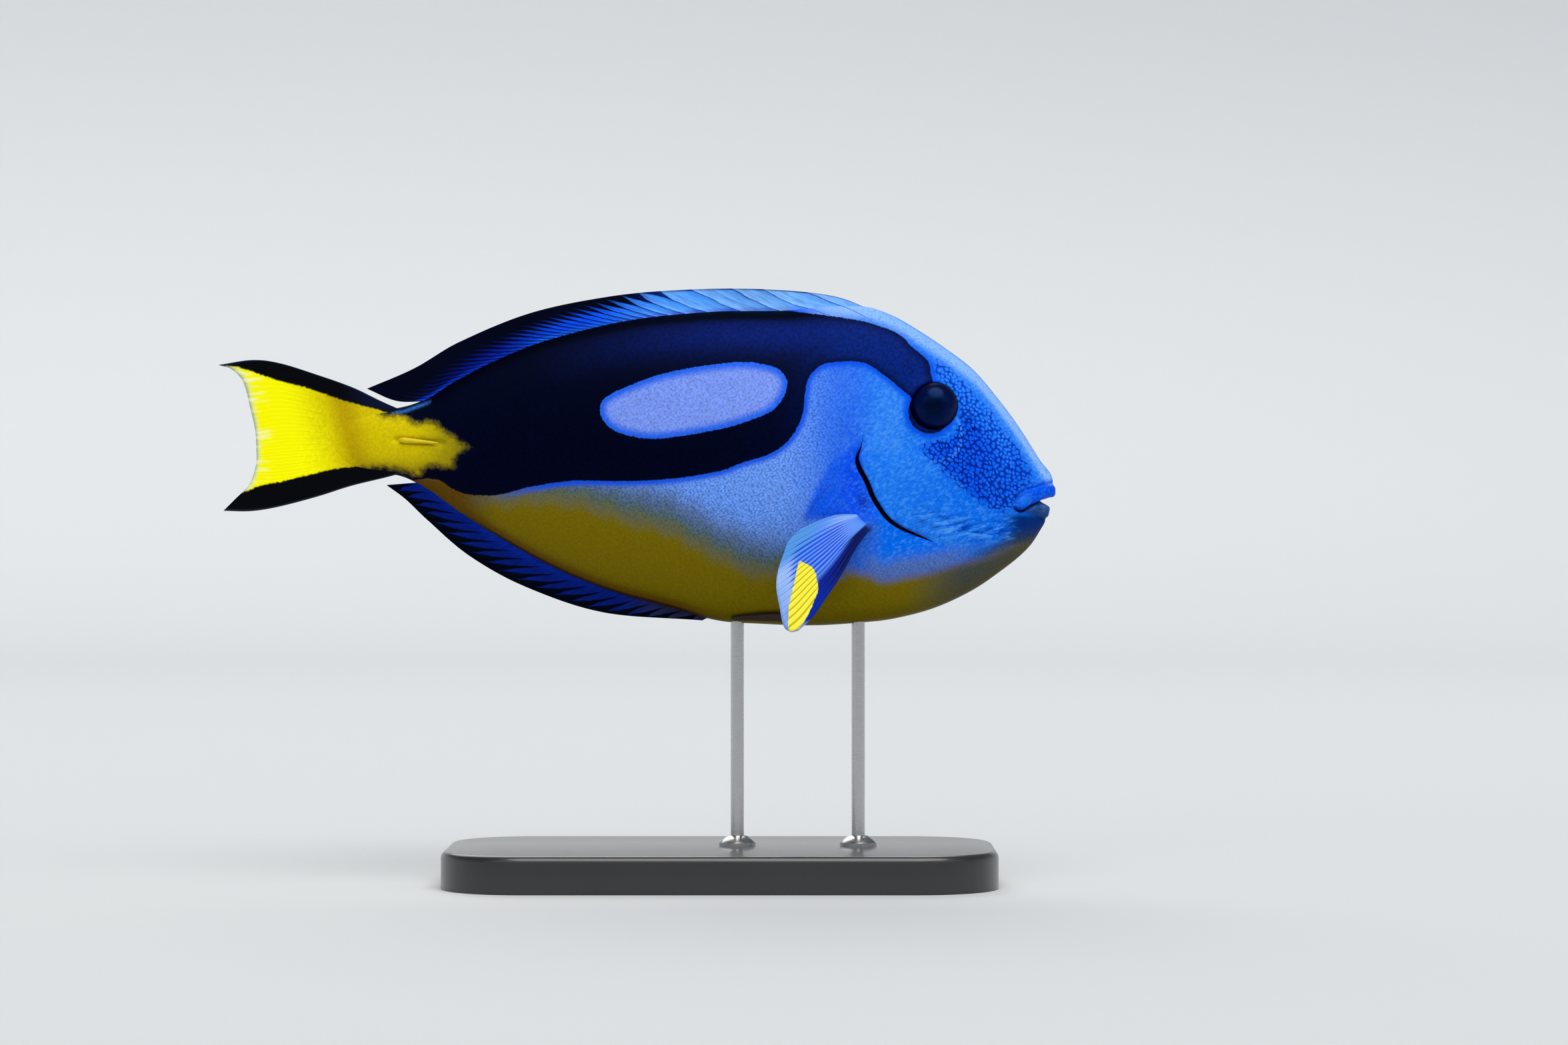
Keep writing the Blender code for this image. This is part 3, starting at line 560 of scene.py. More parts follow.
skinTones = {
    "flank": (104, 154, 244), "lowFlank": (92, 114, 150), "overBelly": (80, 104, 116),
    "paleGrain": (120, 160, 240), "blueGrain": (40, 84, 214), "shoulder": (42, 108, 238),
    "pocket": (18, 92, 240), "pocketDeep": (0, 66, 240), "finRoot": (2, 24, 150),
    "pocketCrease": (16, 64, 190), "gillCover": (10, 112, 240), "gillRidge": (34, 126, 242),
    "cheek": (38, 128, 242), "temple": (66, 146, 246), "laceLight": (96, 172, 252),
    # the back, nape and forehead tones are painted highlights of light from above
    "laceDark": (0, 76, 224), "back": (64, 140, 240), "nape": (140, 186, 248), "forehead": (50, 134, 248),
    "spineFoot": (14, 60, 180), "netPale": (22, 108, 242), "netDeep": (0, 80, 236),
    "crest": (72, 154, 252), "inkPale": (4, 50, 172), "inkDeep": (0, 28, 142), "eyeRim": (70, 150, 250),
    "throat": (0, 112, 250), "throatPatch": (84, 116, 184), "foldDark": (0, 40, 160),
    "foldLight": (96, 172, 252), "chin": (0, 26, 92), "chinEdge": (52, 66, 82), "chinGrey": (70, 76, 72),
    "bellyEdge": (88, 100, 76), "belly": (119, 104, 2), "keel": (92, 80, 6), "analFoot": (100, 70, 4),
    "analFootLine": (40, 28, 8), "stalkUnder": (96, 68, 4), "upperLip": (0, 80, 226),
    "lipLight": (36, 140, 250), "lipShade": (0, 40, 150), "lipTop": (0, 70, 224),
    "lowerLip": (36, 70, 128), "lipEdge": (100, 134, 170), "slit": (1, 2, 22), "band": (0, 2, 25),
    "bandHead": (0, 6, 46), "bandNavy": (2, 24, 104), "bandNape": (2, 30, 112), "bandEye": (0, 5, 48),
    "bandTop": (0, 1, 14), "stalkSheen": (50, 104, 184), "azure": (2, 78, 228), "ovalEdge": (34, 98, 232),
    "oval": (124, 152, 236), "ovalGrain": (52, 92, 220),
}


def tailGold(x, z):  # the yellow of the stalk and of the tail fin
    paint = Paint(len(x), goldTones, "stalk")
    paint.lay("front", 0.85 * soft(x, -56, -42))
    paint.lay("low", 0.6 * soft(z, 3.5, -1.0) * soft(x, -72, -64))
    paint.lay("root", 0.75 * bell(x + 68.4 + 0.25 * (z - 6), 3.4) * soft(z, -3, 2))
    paint.lay("tail", soft(x + 0.3 * (z - 6), -68.5, -82))
    return paint.colour


def skinSpots(x, y, z):  # where each vertex lies among the markings, seen as in the photograph
    at = types.SimpleNamespace()
    at.x, at.z = asSeen(x, y, z)
    at.fromBack = alongBody("back", x) - z
    at.fromBelly = z - alongBody("belly", x)
    at.gill, at.gillShare = markSide("gill", at.x, at.z)
    at.mouth = markSide("mouth", at.x, at.z)[0]
    waves = 0.7 * np.sin(0.9 * at.x + 1.3 * np.sin(0.5 * at.z)) + 0.4 * np.sin(2.3 * at.x + 1.7 * at.z)
    at.fromYellow = smoothCurve(marks["bellyTop"], at.x) - at.z + 0.6 * waves * soft(at.x, 66, 50)
    at.fromYellow += 5.0 * soft(at.x, -40, -45) * soft(at.z, 0, -3)
    # the dark crescent under the eye is painted shadow, laid into the dark band
    shadeX, shadeZ, shadeRadius = marks["eyeShade"]
    shade = shadeRadius - np.hypot(at.x - shadeX, at.z - shadeZ)
    at.band = np.maximum(inMark("band", at.x, at.z), shade)
    at.pocket = inMark("pocket", at.x, at.z)
    at.net = soft(inMark("net", at.x, at.z), -1.2, 1.6)
    at.deep = soft(at.fromBack, 7, 17) * (1 - 0.35 * soft(at.x, 80, 88))
    at.deep = np.maximum(at.deep, 0.65 * soft(at.x, 87.5, 91.0))
    at.front = soft(at.x, 89.5, 91.5)
    at.upperLip = inMark("upperLip", at.x, at.z)
    at.lowerLip = inMark("lowerLip", at.x, at.z)
    return at


def blot(at, x, z, wide, tall):
    return bell(np.hypot((at.x - x) / wide, (at.z - z) / tall), 1.0)


def stroke(at, name, width):
    return bell(besideLine(np.array(marks[name]), at.x, at.z)[0], width)


def paintFlank(paint, at):
    paint.lay("lowFlank", soft(at.fromYellow, -13, -4) * soft(at.x, 44, 26))
    paint.lay("overBelly", soft(at.fromYellow, -8, -1))
    paint.lay("shoulder", soft(at.x, 34, 50))
    paint.lay("pocket", soft(at.pocket, -0.6, 0.8))
    paint.lay("pocketDeep", blot(at, 52.2, -2.5, 3.0, 8.5))
    paint.lay("finRoot", 0.8 * blot(at, 54.2, -8.3, 1.3, 1.6))
    paint.lay("pocketCrease", 0.6 * stroke(at, "pocketCrease", 0.35))


def paintHead(paint, at):
    lid = np.concatenate([[marks["gillTop"]], smoothLine(marks["gill"])])
    blend = 1 + 6 * soft(at.z, 4, 14)
    ahead = soft(besideLine(lid, at.x, at.z)[0], -blend, blend) * soft(at.x, 50, 58)
    paint.lay("gillCover", ahead)
    paint.lay("gillRidge", 0.7 * ahead * bell(at.gill - 3, 4) * soft(at.gillShare, 0.1, 0.4))
    paint.lay("cheek", 0.8 * blot(at, 65, 1, 9, 8))
    paint.lay("temple", 0.5 * ahead * soft(at.z, 1, 6) * soft(at.x, 66, 62))
    # painted highlights of light from above along the head's top: lighter blue over the back, a pale strip by
    # the nape and a bright rim on the forehead's edge
    paint.lay("back", 0.8 * soft(at.fromBack, 9, 2) * soft(at.x, 30, 50))
    paint.lay("nape", 0.9 * soft(at.fromBack, 4.6, 2.2) * soft(at.x, 34, 46))
    paint.lay("forehead", 0.6 * soft(at.fromBack, 0.7, 0.2) * soft(at.x, 56, 64))
    paint.lay("netPale", 0.7 * at.net * (1 - at.deep))
    paint.lay("netDeep", 0.9 * at.net * at.deep)
    # painted highlight: a pale ring where the brow by the eye's right edge catches the light
    paint.lay("eyeRim", 0.6 * bell(np.hypot(at.x - 71.2, at.z - 7.6) - 6.6, 0.4) * soft(at.x, 70, 74))
    throat = soft(at.x, 56, 60) * soft(at.gill, 0.5, -1.0) * soft(at.z, -4, -9)
    paint.lay("throat", throat * soft(at.fromYellow, -2, -6))
    paint.lay("throatPatch", 0.95 * soft(at.x, 52, 58) * bell(at.fromYellow + 1.8, 2.4) * soft(at.x, 86, 72))
    paint.lay("chin", 0.9 * soft(at.x, 86, 92) * soft(at.z, -10.5, -12.5))
    paint.lay("chinEdge", 0.8 * soft(at.x, 76, 86) * bell(at.fromYellow + 0.6, 2.0))


def paintBelly(paint, at):
    paint.lay("bellyEdge", 0.6 * bell(at.fromYellow + 0.8, 2.0) * soft(at.x, 60, 40))
    fade = 1.6 * soft(at.x, 56, 40)
    belly = soft(at.fromYellow, -1.4 - fade, 2.2 + fade)
    # the belly's olive yellow, darker still along the keel, is partly its own colour and partly painted shade
    # of the downward-facing underside
    paint.lay("belly", belly)
    paint.lay("chinGrey", belly * soft(at.x, 63, 80))
    paint.lay("keel", belly * 0.5 * soft(at.fromBelly, 5, 0))
    besideFin = soft(at.x, 24, 10)
    paint.lay("analFoot", 0.9 * besideFin * soft(at.fromBelly, 3.0, 1.4))
    paint.lay("analFootLine", 0.9 * besideFin * soft(at.fromBelly, 1.1, 0.5))
    paint.lay("stalkUnder", soft(at.x, -32, -44) * soft(at.z, -1, -4))


def paintLips(paint, at):
    paint.lay("upperLip", at.front * soft(at.upperLip, -0.3, 0.4))
    # painted highlight on the upper lip's rear
    paint.lay("lipLight", 0.5 * at.front * blot(at, 92.6, -8.0, 1.5, 1.5) * soft(at.upperLip, 0.1, 0.8))
    paint.lay("lipShade", 0.8 * bell(at.upperLip + 0.3, 0.35) * soft(at.x, 95.0, 92.0) * at.front)
    # painted shade along the fold above the upper lip's front
    paint.lay("lipTop", 0.8 * stroke(at, "lipTop", 0.6))
    paint.lay("lowerLip", at.front * soft(at.lowerLip, -0.3, 0.4))
    paint.lay("lipEdge", 0.6 * soft(at.x, 96.4, 97.4) * bell(at.mouth, 1.1))


def paintBand(paint, at):
    paint.lay("bandHead", soft(at.x, 20, 55))
    # bluer navy in the band's middle and at the nape: partly the band's own navy, partly painted sheen of
    # light from above
    paint.lay("bandNavy", soft(at.x, -30, 40) * bell(at.fromBack - 6.0, 4.5) * soft(at.band, 0.6, 4.0))
    paint.lay("bandNape", soft(at.x, 34, 56) * soft(at.band, -0.4, 2.2))
    # painted shadow under the eye, darker towards its bottom
    paint.lay("bandEye", soft(at.z, 9, 4) * soft(at.x, 60, 65))
    paint.lay("bandTop", soft(at.fromBack, 3.2, 1.6) * soft(at.x, 62, 52))
    streak = stroke(at, "stalkStreak", 0.4) * soft(at.x, -47, -52) * soft(at.x, -61, -56)
    paint.lay("stalkSheen", 0.8 * streak)


def paintSkin(mesh, x, y, z):  # the ground colours, and how strong each pattern of the material is
    at = skinSpots(x, y, z)
    ground = Paint(len(x), skinTones, "flank")
    for paintPart in (paintFlank, paintHead, paintBelly, paintLips):
        paintPart(ground, at)
    dark = Paint(len(x), skinTones, "band")
    paintBand(dark, at)
    keep(mesh, ground=ground.colour, dark=dark.colour, gold=tailGold(at.x, at.z))
    keep(mesh, band=at.band, oval=inMark("oval", at.x, at.z), wedge=inMark("tailWedge", at.x, at.z))
    keep(mesh, belly=at.fromYellow, net=at.net, deep=at.deep, gill=at.gill, mouth=at.mouth)
    keep(mesh, azure=0.9 * soft(at.x, -37, -20) * (1 - 0.7 * soft(at.fromBack, 7, 4) * soft(at.x, 36, 48)))
    lips = at.front * soft(np.maximum(at.upperLip, at.lowerLip), -0.5, 0.2)
    chin = soft(at.x, 86, 92) * soft(at.z, -9.5, -12.0)
    cheek = soft(at.x, 42, 58) * soft(at.fromYellow, -1.5, -5.0)
    keep(mesh, lace=cheek * (1 - 0.5 * lips) * (1 - 0.8 * at.net) * (1 - chin))
    head = soft(at.x, 44, 58) * soft(at.fromYellow, -1.0, -4.0)
    nape = soft(at.x, 34, 40) * soft(at.fromBack, 8, 4)
    keep(mesh, grain=1.1 - 0.7 * soft(at.fromYellow, -3, 1) - 0.7 * np.maximum(head, nape))
    keep(mesh, flank=soft(at.x, 58, 42) * (1 - 0.8 * soft(at.pocket, -1.0, 1.5)) * soft(at.fromBack, 3, 7))
    keep(mesh, fold=stroke(at, "throatFold", 2.8) * soft(at.x, 60, 72) * soft(at.x, 93, 88))
    footX = at.x - dorsalPlan["lean"] * at.fromBack
    keep(mesh, feet=smoothCurve(dorsalPlan["feet"], footX))
    keep(mesh, sheath=soft(at.x, 33, 37) * soft(footX, 57.6, 55.0) * soft(at.fromBack, 4.0, 2.5))
    # widths of the painted shade along the gill slit and the mouth line
    taper = (0.35 + 0.65 * soft(at.gillShare, 1.0, 0.5)) * soft(at.gillShare, 1.0, 0.9)
    keep(mesh, gillWidth=0.02 + 0.85 * soft(at.gillShare, 0.0, 0.3) * taper)
    keep(mesh, mouthWidth=0.02 + 0.5 * soft(at.x, 89.8, 91.0) * soft(at.x, 98.2, 96.0))


def splitFaces(mesh, wanted):
    shape = bmesh.new()
    shape.from_mesh(mesh)
    faces = [face for face in shape.faces if all(wanted[vert.index] for vert in face.verts)]
    edges = list({edge for face in faces for edge in face.edges})
    bmesh.ops.subdivide_edges(shape, edges=edges, cuts=1, use_grid_fill=True, use_single_edge=True)
    shape.to_mesh(mesh)
    shape.free()


def makeSkin(material):
    mesh = sphereMesh("fish_skin", skinPlan["around"], len(skinRings()) - 1)
    for level in (0, 1):
        x, y, z, angle = skinPlace(mesh)
        splitFaces(mesh, detailWanted(x, y, z, level))
    x, y, z, angle = skinPlace(mesh)
    setCoordinates(mesh, x, y, z)
    facesOut(mesh)
    normal = np.empty(len(x) * 3, np.float32)
    mesh.vertex_normals.foreach_get("vector", normal)
    raised = normal.reshape(-1, 3) * relief(x, y, z)[:, None]
    setCoordinates(mesh, x + raised[:, 0], y + raised[:, 1], z + raised[:, 2])
    paintSkin(mesh, x, y, z)
    flat = np.stack([x, girthWay(x, angle), 0 * x], 1).astype(np.float32)
    mesh.attributes.new("flat", "FLOAT_VECTOR", "POINT").data.foreach_set("vector", flat.ravel())
    print("skin triangles:", sum(len(face.vertices) - 2 for face in mesh.polygons))
    addPiece("fish_skin", mesh, material, ("head", "torso", "tail_stalk"))


def skinMaterial():
    skin = Finish("fishSkin", 0.45, skinTones, gloss=0.04, tint=(0.4, 0.6, 1.0))
    flat = skin.read("flat", "Vector")
    straight = skin.place()
    fine = skin.noise(straight, 0.7, 4.0)
    broad = skin.noise(straight, 7.0, 3.0)
    rows = skin.cells(skin.mapped(skin.warped(flat, 1.6, 0.5), (0.0, 0.0, 0.62), (2.0, 1.0, 1.0)), 0.4, 0.7)
    pebbles = skin.warped(flat, 2.0, 0.5)
    bead = skin.cells(pebbles, 1.0, 0.85)
    seam = skin.cells(pebbles, 1.0, 0.85, "DISTANCE_TO_EDGE")
    winding = skin.noise(skin.place((1.5, 1.0, 0.8), -0.5), 0.75, 1.0)
    ragged = (fine - 0.5) * 0.6

    # flank and cheek
    belly = skin.read("belly")
    flank = skin.read("flank")
    lace = skin.read("lace")
    woven = rows.ramp(0.12, 0.62, 1.18, 0.80) * fine.ramp(0.3, 0.7, 0.84, 1.14)
    colour = skin.read("ground", "Color").shade((woven - 1.0) * skin.read("grain") + 1.0)
    colour = colour.lay("paleGrain", broad.ramp(0.4, 0.75, 0.0, 0.2) * belly.ramp(-4.0, -8.0) * flank)
    colour = colour.lay("blueGrain", rows.ramp(0.4, 0.7, 0.0, 0.34) * belly.ramp(-1.0, -5.0) * flank)
    colour = colour.lay("laceLight", lace * winding.ramp(0.48, 0.7, 0.0, 0.28))
    colour = colour.lay("laceDark", lace * winding.ramp(0.5, 0.32, 0.0, 0.3))

    # net of the snout: dark seams round pale pebbles, each with a painted highlight on its centre
    net = skin.read("net")
    deep = skin.read("deep")
    colour = colour.lay("crest", bead.ramp(0.38, 0.08) * (net * deep.ramp(0.0, 1.0, 0.45, 0.05)))
    broken = (skin.noise(straight, 1.0, 1.0) - 0.5) * 1.05
    corner = (0.5 - bead) * 0.85
    level = deep.ramp(0.0, 1.0, 0.1, 0.19) - net.ramp(1.0, 0.0, 0.0, 0.22)
    web = (seam + corner + broken - level).ramp(0.17, -0.13)
    colour = colour.lay(skin.mix(deep, "inkPale", "inkDeep"), web * net.ramp(0.0, 0.4, 0.0, 0.92))

    # feet of the dorsal fin's spines
    foot = skin.read("feet").op("PINGPONG", 0.5) * 2.0
    colour = colour.lay("spineFoot", foot.ramp(0.08, 0.02, 0.0, 0.7) * skin.read("sheath"))

    # dark band, oval patch and yellow wedge
    band = skin.read("band") + ragged
    colour = colour.lay("azure", band.ramp(-1.9, -0.4) * skin.read("azure"))
    dark = skin.read("dark", "Color").shade(fine.ramp(0.3, 0.7, 0.7, 1.3))
    colour = colour.lay(dark, band.ramp(-0.15, 0.15))
    oval = skin.read("oval")
    patch = skin.mix(oval.ramp(0.4, 2.6), "ovalEdge", "oval")
    patch = patch.lay("ovalGrain", rows.ramp(0.35, 0.7, 0.0, 0.45)).shade(fine.ramp(0.3, 0.7, 0.88, 1.12))
    colour = colour.lay(patch, (oval + ragged).ramp(-0.12, 0.12))
    frayed = skin.read("wedge") + (skin.noise(straight, 1.3, 5.0, 0.65) - 0.5) * 3.0
    gold = skin.read("gold", "Color").shade(fine.ramp(0.3, 0.7, 0.9, 1.08))
    colour = colour.lay(gold, frayed.ramp(-0.6, 2.0))

    # folds of the throat with painted shade and painted highlights on their wrinkles, and painted shade in
    # the gill slit and mouth
    fold = skin.read("fold")
    dashes = skin.noise(skin.place((3.6, 1.0, 0.8), -0.12), 1.15, 3.0)
    colour = colour.lay("foldDark", fold * dashes.ramp(0.5, 0.64, 0.0, 0.8))
    colour = colour.lay("foldLight", fold * dashes.ramp(0.47, 0.36, 0.0, 0.6))
    # the gill slit and the mouth line are painted near-black: painted shade in their grooves
    slit = abs(skin.read("gill") + 0.4).ramp(skin.read("gillWidth"), 0.0).ramp(0.1, 0.45)
    mouth = abs(skin.read("mouth")).ramp(skin.read("mouthWidth"), 0.0)
    colour = colour.lay("slit", slit.op("MAXIMUM", mouth * 0.9))
    beads = (1.0 - bead) * net.ramp(0.0, 0.3)
    grained = skin.bump(beads, 0.08, 0.6, skin.bump(rows, 0.04, 0.5))
    return skin.dress({"Base Color": colour, "Normal": grained})


# Fins: sheets between a root, an outer margin and two side edges

finPlans = {
    "dorsal": {
        "rays": 28,
        "root": [
            (0.0, 54.0, 36.6), (0.2, 35.0, 35.6), (0.4, 15.0, 35.6), (0.6, -6.0, 33.2),
            (0.8, -28.0, 26.9), (1.0, -48.6, 15.9),
        ],
        "margin": [
            (0.0, 57.0, 37.2), (0.05, 49.0, 40.45), (0.1, 40.5, 41.9), (0.2, 26.0, 42.7),
            (0.35, 10.0, 42.4), (0.5, -7.0, 40.8), (0.65, -25.5, 36.9), (0.8, -43.0, 29.8),
            (0.9, -53.5, 23.6), (1.0, -64.9, 18.7),
        ],
        "last": [(0.5, -57.4, 15.7)],
        "rootHalf": 0.6,
        "rimHalf": 0.16,
        "ridge": 0.2,
    },
    "anal": {
        "rays": 21,
        "root": [
            (0.0, 18.6, -35.4), (0.2, 4.0, -31.0), (0.4, -10.4, -26.6), (0.6, -24.6, -20.2),
            (0.8, -38.0, -12.0), (1.0, -50.4, -3.6),
        ],
        "margin": [
            (0.0, 15.6, -36.9), (0.2, -8.0, -35.0), (0.4, -26.4, -29.0), (0.6, -40.0, -21.6),
            (0.8, -50.6, -12.6), (0.9, -55.6, -7.8), (1.0, -60.2, -4.4),
        ],
        "rootHalf": 0.6,
        "rimHalf": 0.16,
        "ridge": 0.2,
    },
    "caudal": {
        "rays": 20,
        "root": [
            (0.0, -56.2, 13.4), (0.2, -64.0, 11.0), (0.5, -64.6, 6.0), (0.8, -64.0, 1.0),
            (1.0, -56.0, -1.4),
        ],
        "margin": [
            (0.0, -100.5, 24.4), (0.06, -97.4, 23.4), (0.15, -94.6, 20.4), (0.3, -92.8, 13.8),
            (0.42, -91.7, 8.9), (0.55, -91.4, 4.6), (0.7, -91.5, 0.4), (0.85, -93.2, -4.4),
            (0.94, -96.6, -7.9), (1.0, -99.3, -10.6),
        ],
        "first": [
            (0.12, -61.6, 15.8), (0.3, -68.2, 19.0), (0.5, -76.6, 22.0), (0.7, -86.0, 24.9),
            (0.86, -92.6, 25.6),
        ],
        "last": [
            (0.12, -60.4, -2.6), (0.3, -68.6, -4.6), (0.5, -76.8, -7.2), (0.7, -86.4, -9.7),
            (0.86, -93.0, -10.7),
        ],
        "rootHalf": 1.0,
        "rimHalf": 0.16,
        "ridge": 0.09,
        "smooth": (0.3, 0.6),
    },
    "pectoral": {
        "rays": 16,
        "root": [(0.0, 57.6, -12.6), (0.5, 55.6, -12.0), (1.0, 53.2, -11.4)],
        "margin": [
            (0.0, 38.6, -38.7), (0.05, 36.8, -39.0), (0.12, 35.2, -37.8), (0.3, 34.2, -33.4),
            (0.5, 33.4, -28.8), (0.7, 33.8, -24.6), (0.85, 35.2, -20.4), (0.94, 36.4, -17.6),
            (1.0, 39.2, -14.8),
        ],
        "first": [(0.25, 52.6, -19.0), (0.5, 48.6, -26.0), (0.75, 44.4, -32.2), (0.9, 41.6, -36.0)],
        "last": [(0.5, 46.6, -11.8)],
        "rootHalf": 0.85,
        "rimHalf": 0.16,
        "ridge": 0.18,
        "smooth": (0.1, 0.4),
    },
    "pelvic": {
        "rays": 4,
        "root": [(0.0, 43.2, -37.2), (1.0, 40.6, -35.2)],
        "margin": [(0.0, 23.6, -36.8), (0.5, 22.4, -36.4), (1.0, 23.0, -35.8)],
        "first": [(0.5, 32.4, -37.0)],
        "last": [(0.5, 31.4, -34.9)],
        "rootHalf": 0.5,
        "rimHalf": 0.24,
        "ridge": 0.1,
    },
}

pectoralPlan = {"rootY": 11.2, "spread": 0.48, "camber": 1.6}
pelvicLift = 0.85


def edgePoint(knots, share):
    return (
        smoothCurve([(k[0], k[1]) for k in knots], share),
        smoothCurve([(k[0], k[2]) for k in knots], share),
    )


def finPoint(plan, across, along):  # (x, z); across runs from first to last ray, along from root to margin
    root, margin = plan["root"], plan["margin"]
    first = [(0.0, *root[0][1:]), *plan.get("first", []), (1.0, *margin[0][1:])]
    last = [(0.0, *root[-1][1:]), *plan.get("last", []), (1.0, *margin[-1][1:])]
    result = []
    for axis in (0, 1):
        sheet = edgePoint(root, across)[axis] * (1 - along) + edgePoint(margin, across)[axis] * along
        sides = edgePoint(first, along)[axis] * (1 - across) + edgePoint(last, along)[axis] * across
        rootLine = root[0][axis + 1] * (1 - across) + root[-1][axis + 1] * across
        marginLine = margin[0][axis + 1] * (1 - across) + margin[-1][axis + 1] * across
        result.append(sheet + sides - rootLine * (1 - along) - marginLine * along)
    return result


def rayHeight(phase, along, smooth):  # 1 on a ray's crest; rays rise from smooth flesh and fork half way out
    whole = np.abs(np.cos(math.pi * phase)) ** 6
    forked = np.abs(np.cos(2 * math.pi * phase)) ** 6
    return (whole * soft(along, 0.75, 0.35) + forked * 0.8 * soft(along, 0.35, 0.75)) * soft(along, *smooth)


def finSheet(name, lateral, perRay, rows, phaseAt=None):  # a closed sheet, with its rays raised in both faces
    plan = finPlans[name]
    shape = bmesh.new()
    bmesh.ops.create_grid(shape, x_segments=plan["rays"] * perRay, y_segments=rows, size=1.0)
    half = len(shape.verts)
    bmesh.ops.extrude_face_region(shape, geom=list(shape.faces), use_keep_orig=True)
    mesh = finishMesh(shape, name)
    co = coordinates(mesh)
    side = np.where(np.arange(len(co)) < half, -1.0, 1.0)
    across, along = (co[:, 0] + 1) / 2, (co[:, 1] + 1) / 2
    fade = 1 - along
    x, z = finPoint(plan, across, along)
    phase = phaseAt(x, z) if phaseAt else across * plan["rays"]
    thick = plan["rimHalf"] + (plan["rootHalf"] - plan["rimHalf"]) * fade**2.5
    ridge = rayHeight(phase, along, plan.get("smooth", (0.04, 0.2)))
    thick = thick + plan["ridge"] * (0.45 + 0.55 * fade) * ridge
    y = lateral(x, z, across, along) + side * thick
    setCoordinates(mesh, x, y, z)
    keep(mesh, phase=phase)
    return mesh, x, y, z, across, along


def upright(x, z, across, along):  # the middle fins wave a little towards their margins
    return 0.25 * along * np.sin(across * 26.0) * soft(across, 0.0, 0.1) * soft(across, 1.0, 0.9)


def pectoralY(x, z, across, along):  # its root starts inside the body
    out = np.hypot(x - finPlans["pectoral"]["root"][1][1], z - finPlans["pectoral"]["root"][1][2])
    arch = pectoralPlan["camber"] * np.sin(math.pi * across) * along
    return -(pectoralPlan["rootY"] + pectoralPlan["spread"] * out + arch - 2.2 * soft(along, 0.1, 0.0))


def pelvicY(x, z, across, along):
    lift = pelvicLift * np.minimum(1.0, along / 0.25) - 1.2 * np.maximum(0.0, 1 - along / 0.25)
    return -(skinY(x, z) + lift)


def addPair(fin, mesh, material):  # the right fin as it was made, and its mirror image on the left
    left = mesh.copy()
    co = coordinates(left) * (1, -1, 1)
    left.vertices.foreach_set("co", co.astype(np.float32).ravel())
    left.update()
    for side, shape in (("right", mesh), ("left", left)):
        refine(f"{fin}_{side}", shape, material)


def finMaterial(name, tones, turn):  # its streaks run along the rays, which lie turned so much from level
    fin = Finish(name, 0.45, tones, gloss=0.05, tint=(0.4, 0.6, 1.0))
    straight = fin.place()
    phase = fin.read("phase") + (fin.noise(straight, 5.0, 2.0) - 0.5) * 0.25
    colour = fin.read("ground", "Color")
    # painted highlight, brightening across each gap towards the next ray
    if "pale" in tones:
        colour = colour.lay("pale", phase.op("FRACT") * fin.read("sheen"))
    streaks = fin.noise(fin.place((4.0, 1.0, 0.5), turn), 0.9, 3.0)
    off = phase.op("PINGPONG", 0.5) * 2.0
    reach = fin.read("stripe") + (fin.noise(straight, 0.9, 3.0) - 0.5) * 0.08
    blur = fin.read("blur")
    dark = (reach - off).ramp(blur * -1.0, blur)
    colour = colour.shade(streaks.ramp(0.3, 0.7, 0.86, 1.2)).lay(fin.read("line", "Color"), dark)
    return fin.dress({"Base Color": colour, "Normal": fin.bump(fin.noise(straight, 0.4, 2.0), 0.03, 0.4)})


dorsalPlan = {
    "height": [
        (-65.0, 4.0), (-60.0, 6.9), (-53.0, 8.6), (-43.0, 8.9), (-25.0, 7.8), (-7.0, 6.6), (10.0, 5.9),
        (26.0, 5.3), (40.0, 3.7), (48.0, 2.2), (56.0, 1.0),
    ],
    "lean": 2.15,  # how much further back than up a ray runs
    "feet": [
        (-60.0, 38.0), (-40.0, 28.5), (-20.0, 19.0), (-8.0, 13.0), (2.0, 8.8), (9.0, 6.6), (16.7, 5.0),
        (24.7, 4.0), (34.0, 3.0), (40.8, 2.0), (48.8, 1.0), (58.0, 0.0),
    ],
    "black": [
        (-60.0, -0.3), (-56.0, 0.15), (-50.0, 0.58), (-40.0, 0.66), (-28.0, 0.72), (-15.0, 0.84),
        (-4.0, 0.92), (8.0, 1.0), (60.0, 1.0),
    ],
}


dorsalTones = {
    "front": (100, 168, 250), "middle": (44, 142, 255), "behind": (8, 76, 238), "rear": (2, 22, 142),
    "end": (1, 9, 84), "foot": (10, 70, 226), "footMiddle": (24, 104, 238), "footRear": (4, 40, 170),
    "pale": (156, 206, 252), "border": (1, 5, 56), "rim": (8, 30, 120), "ray": (14, 48, 150),
    "rayRear": (1, 3, 22),
}


def dorsalShare(x, z):  # 0 on the back's edge, 1 on the fin's margin
    return np.clip((z - alongBody("back", x)) / smoothCurve(dorsalPlan["height"], x), 0, 1.2)


def dorsalPhase(x, z):
    way = dorsalPlan["lean"] * smoothCurve(dorsalPlan["height"], x) * dorsalShare(x, z) ** 0.8
    return smoothCurve(dorsalPlan["feet"], x + way)


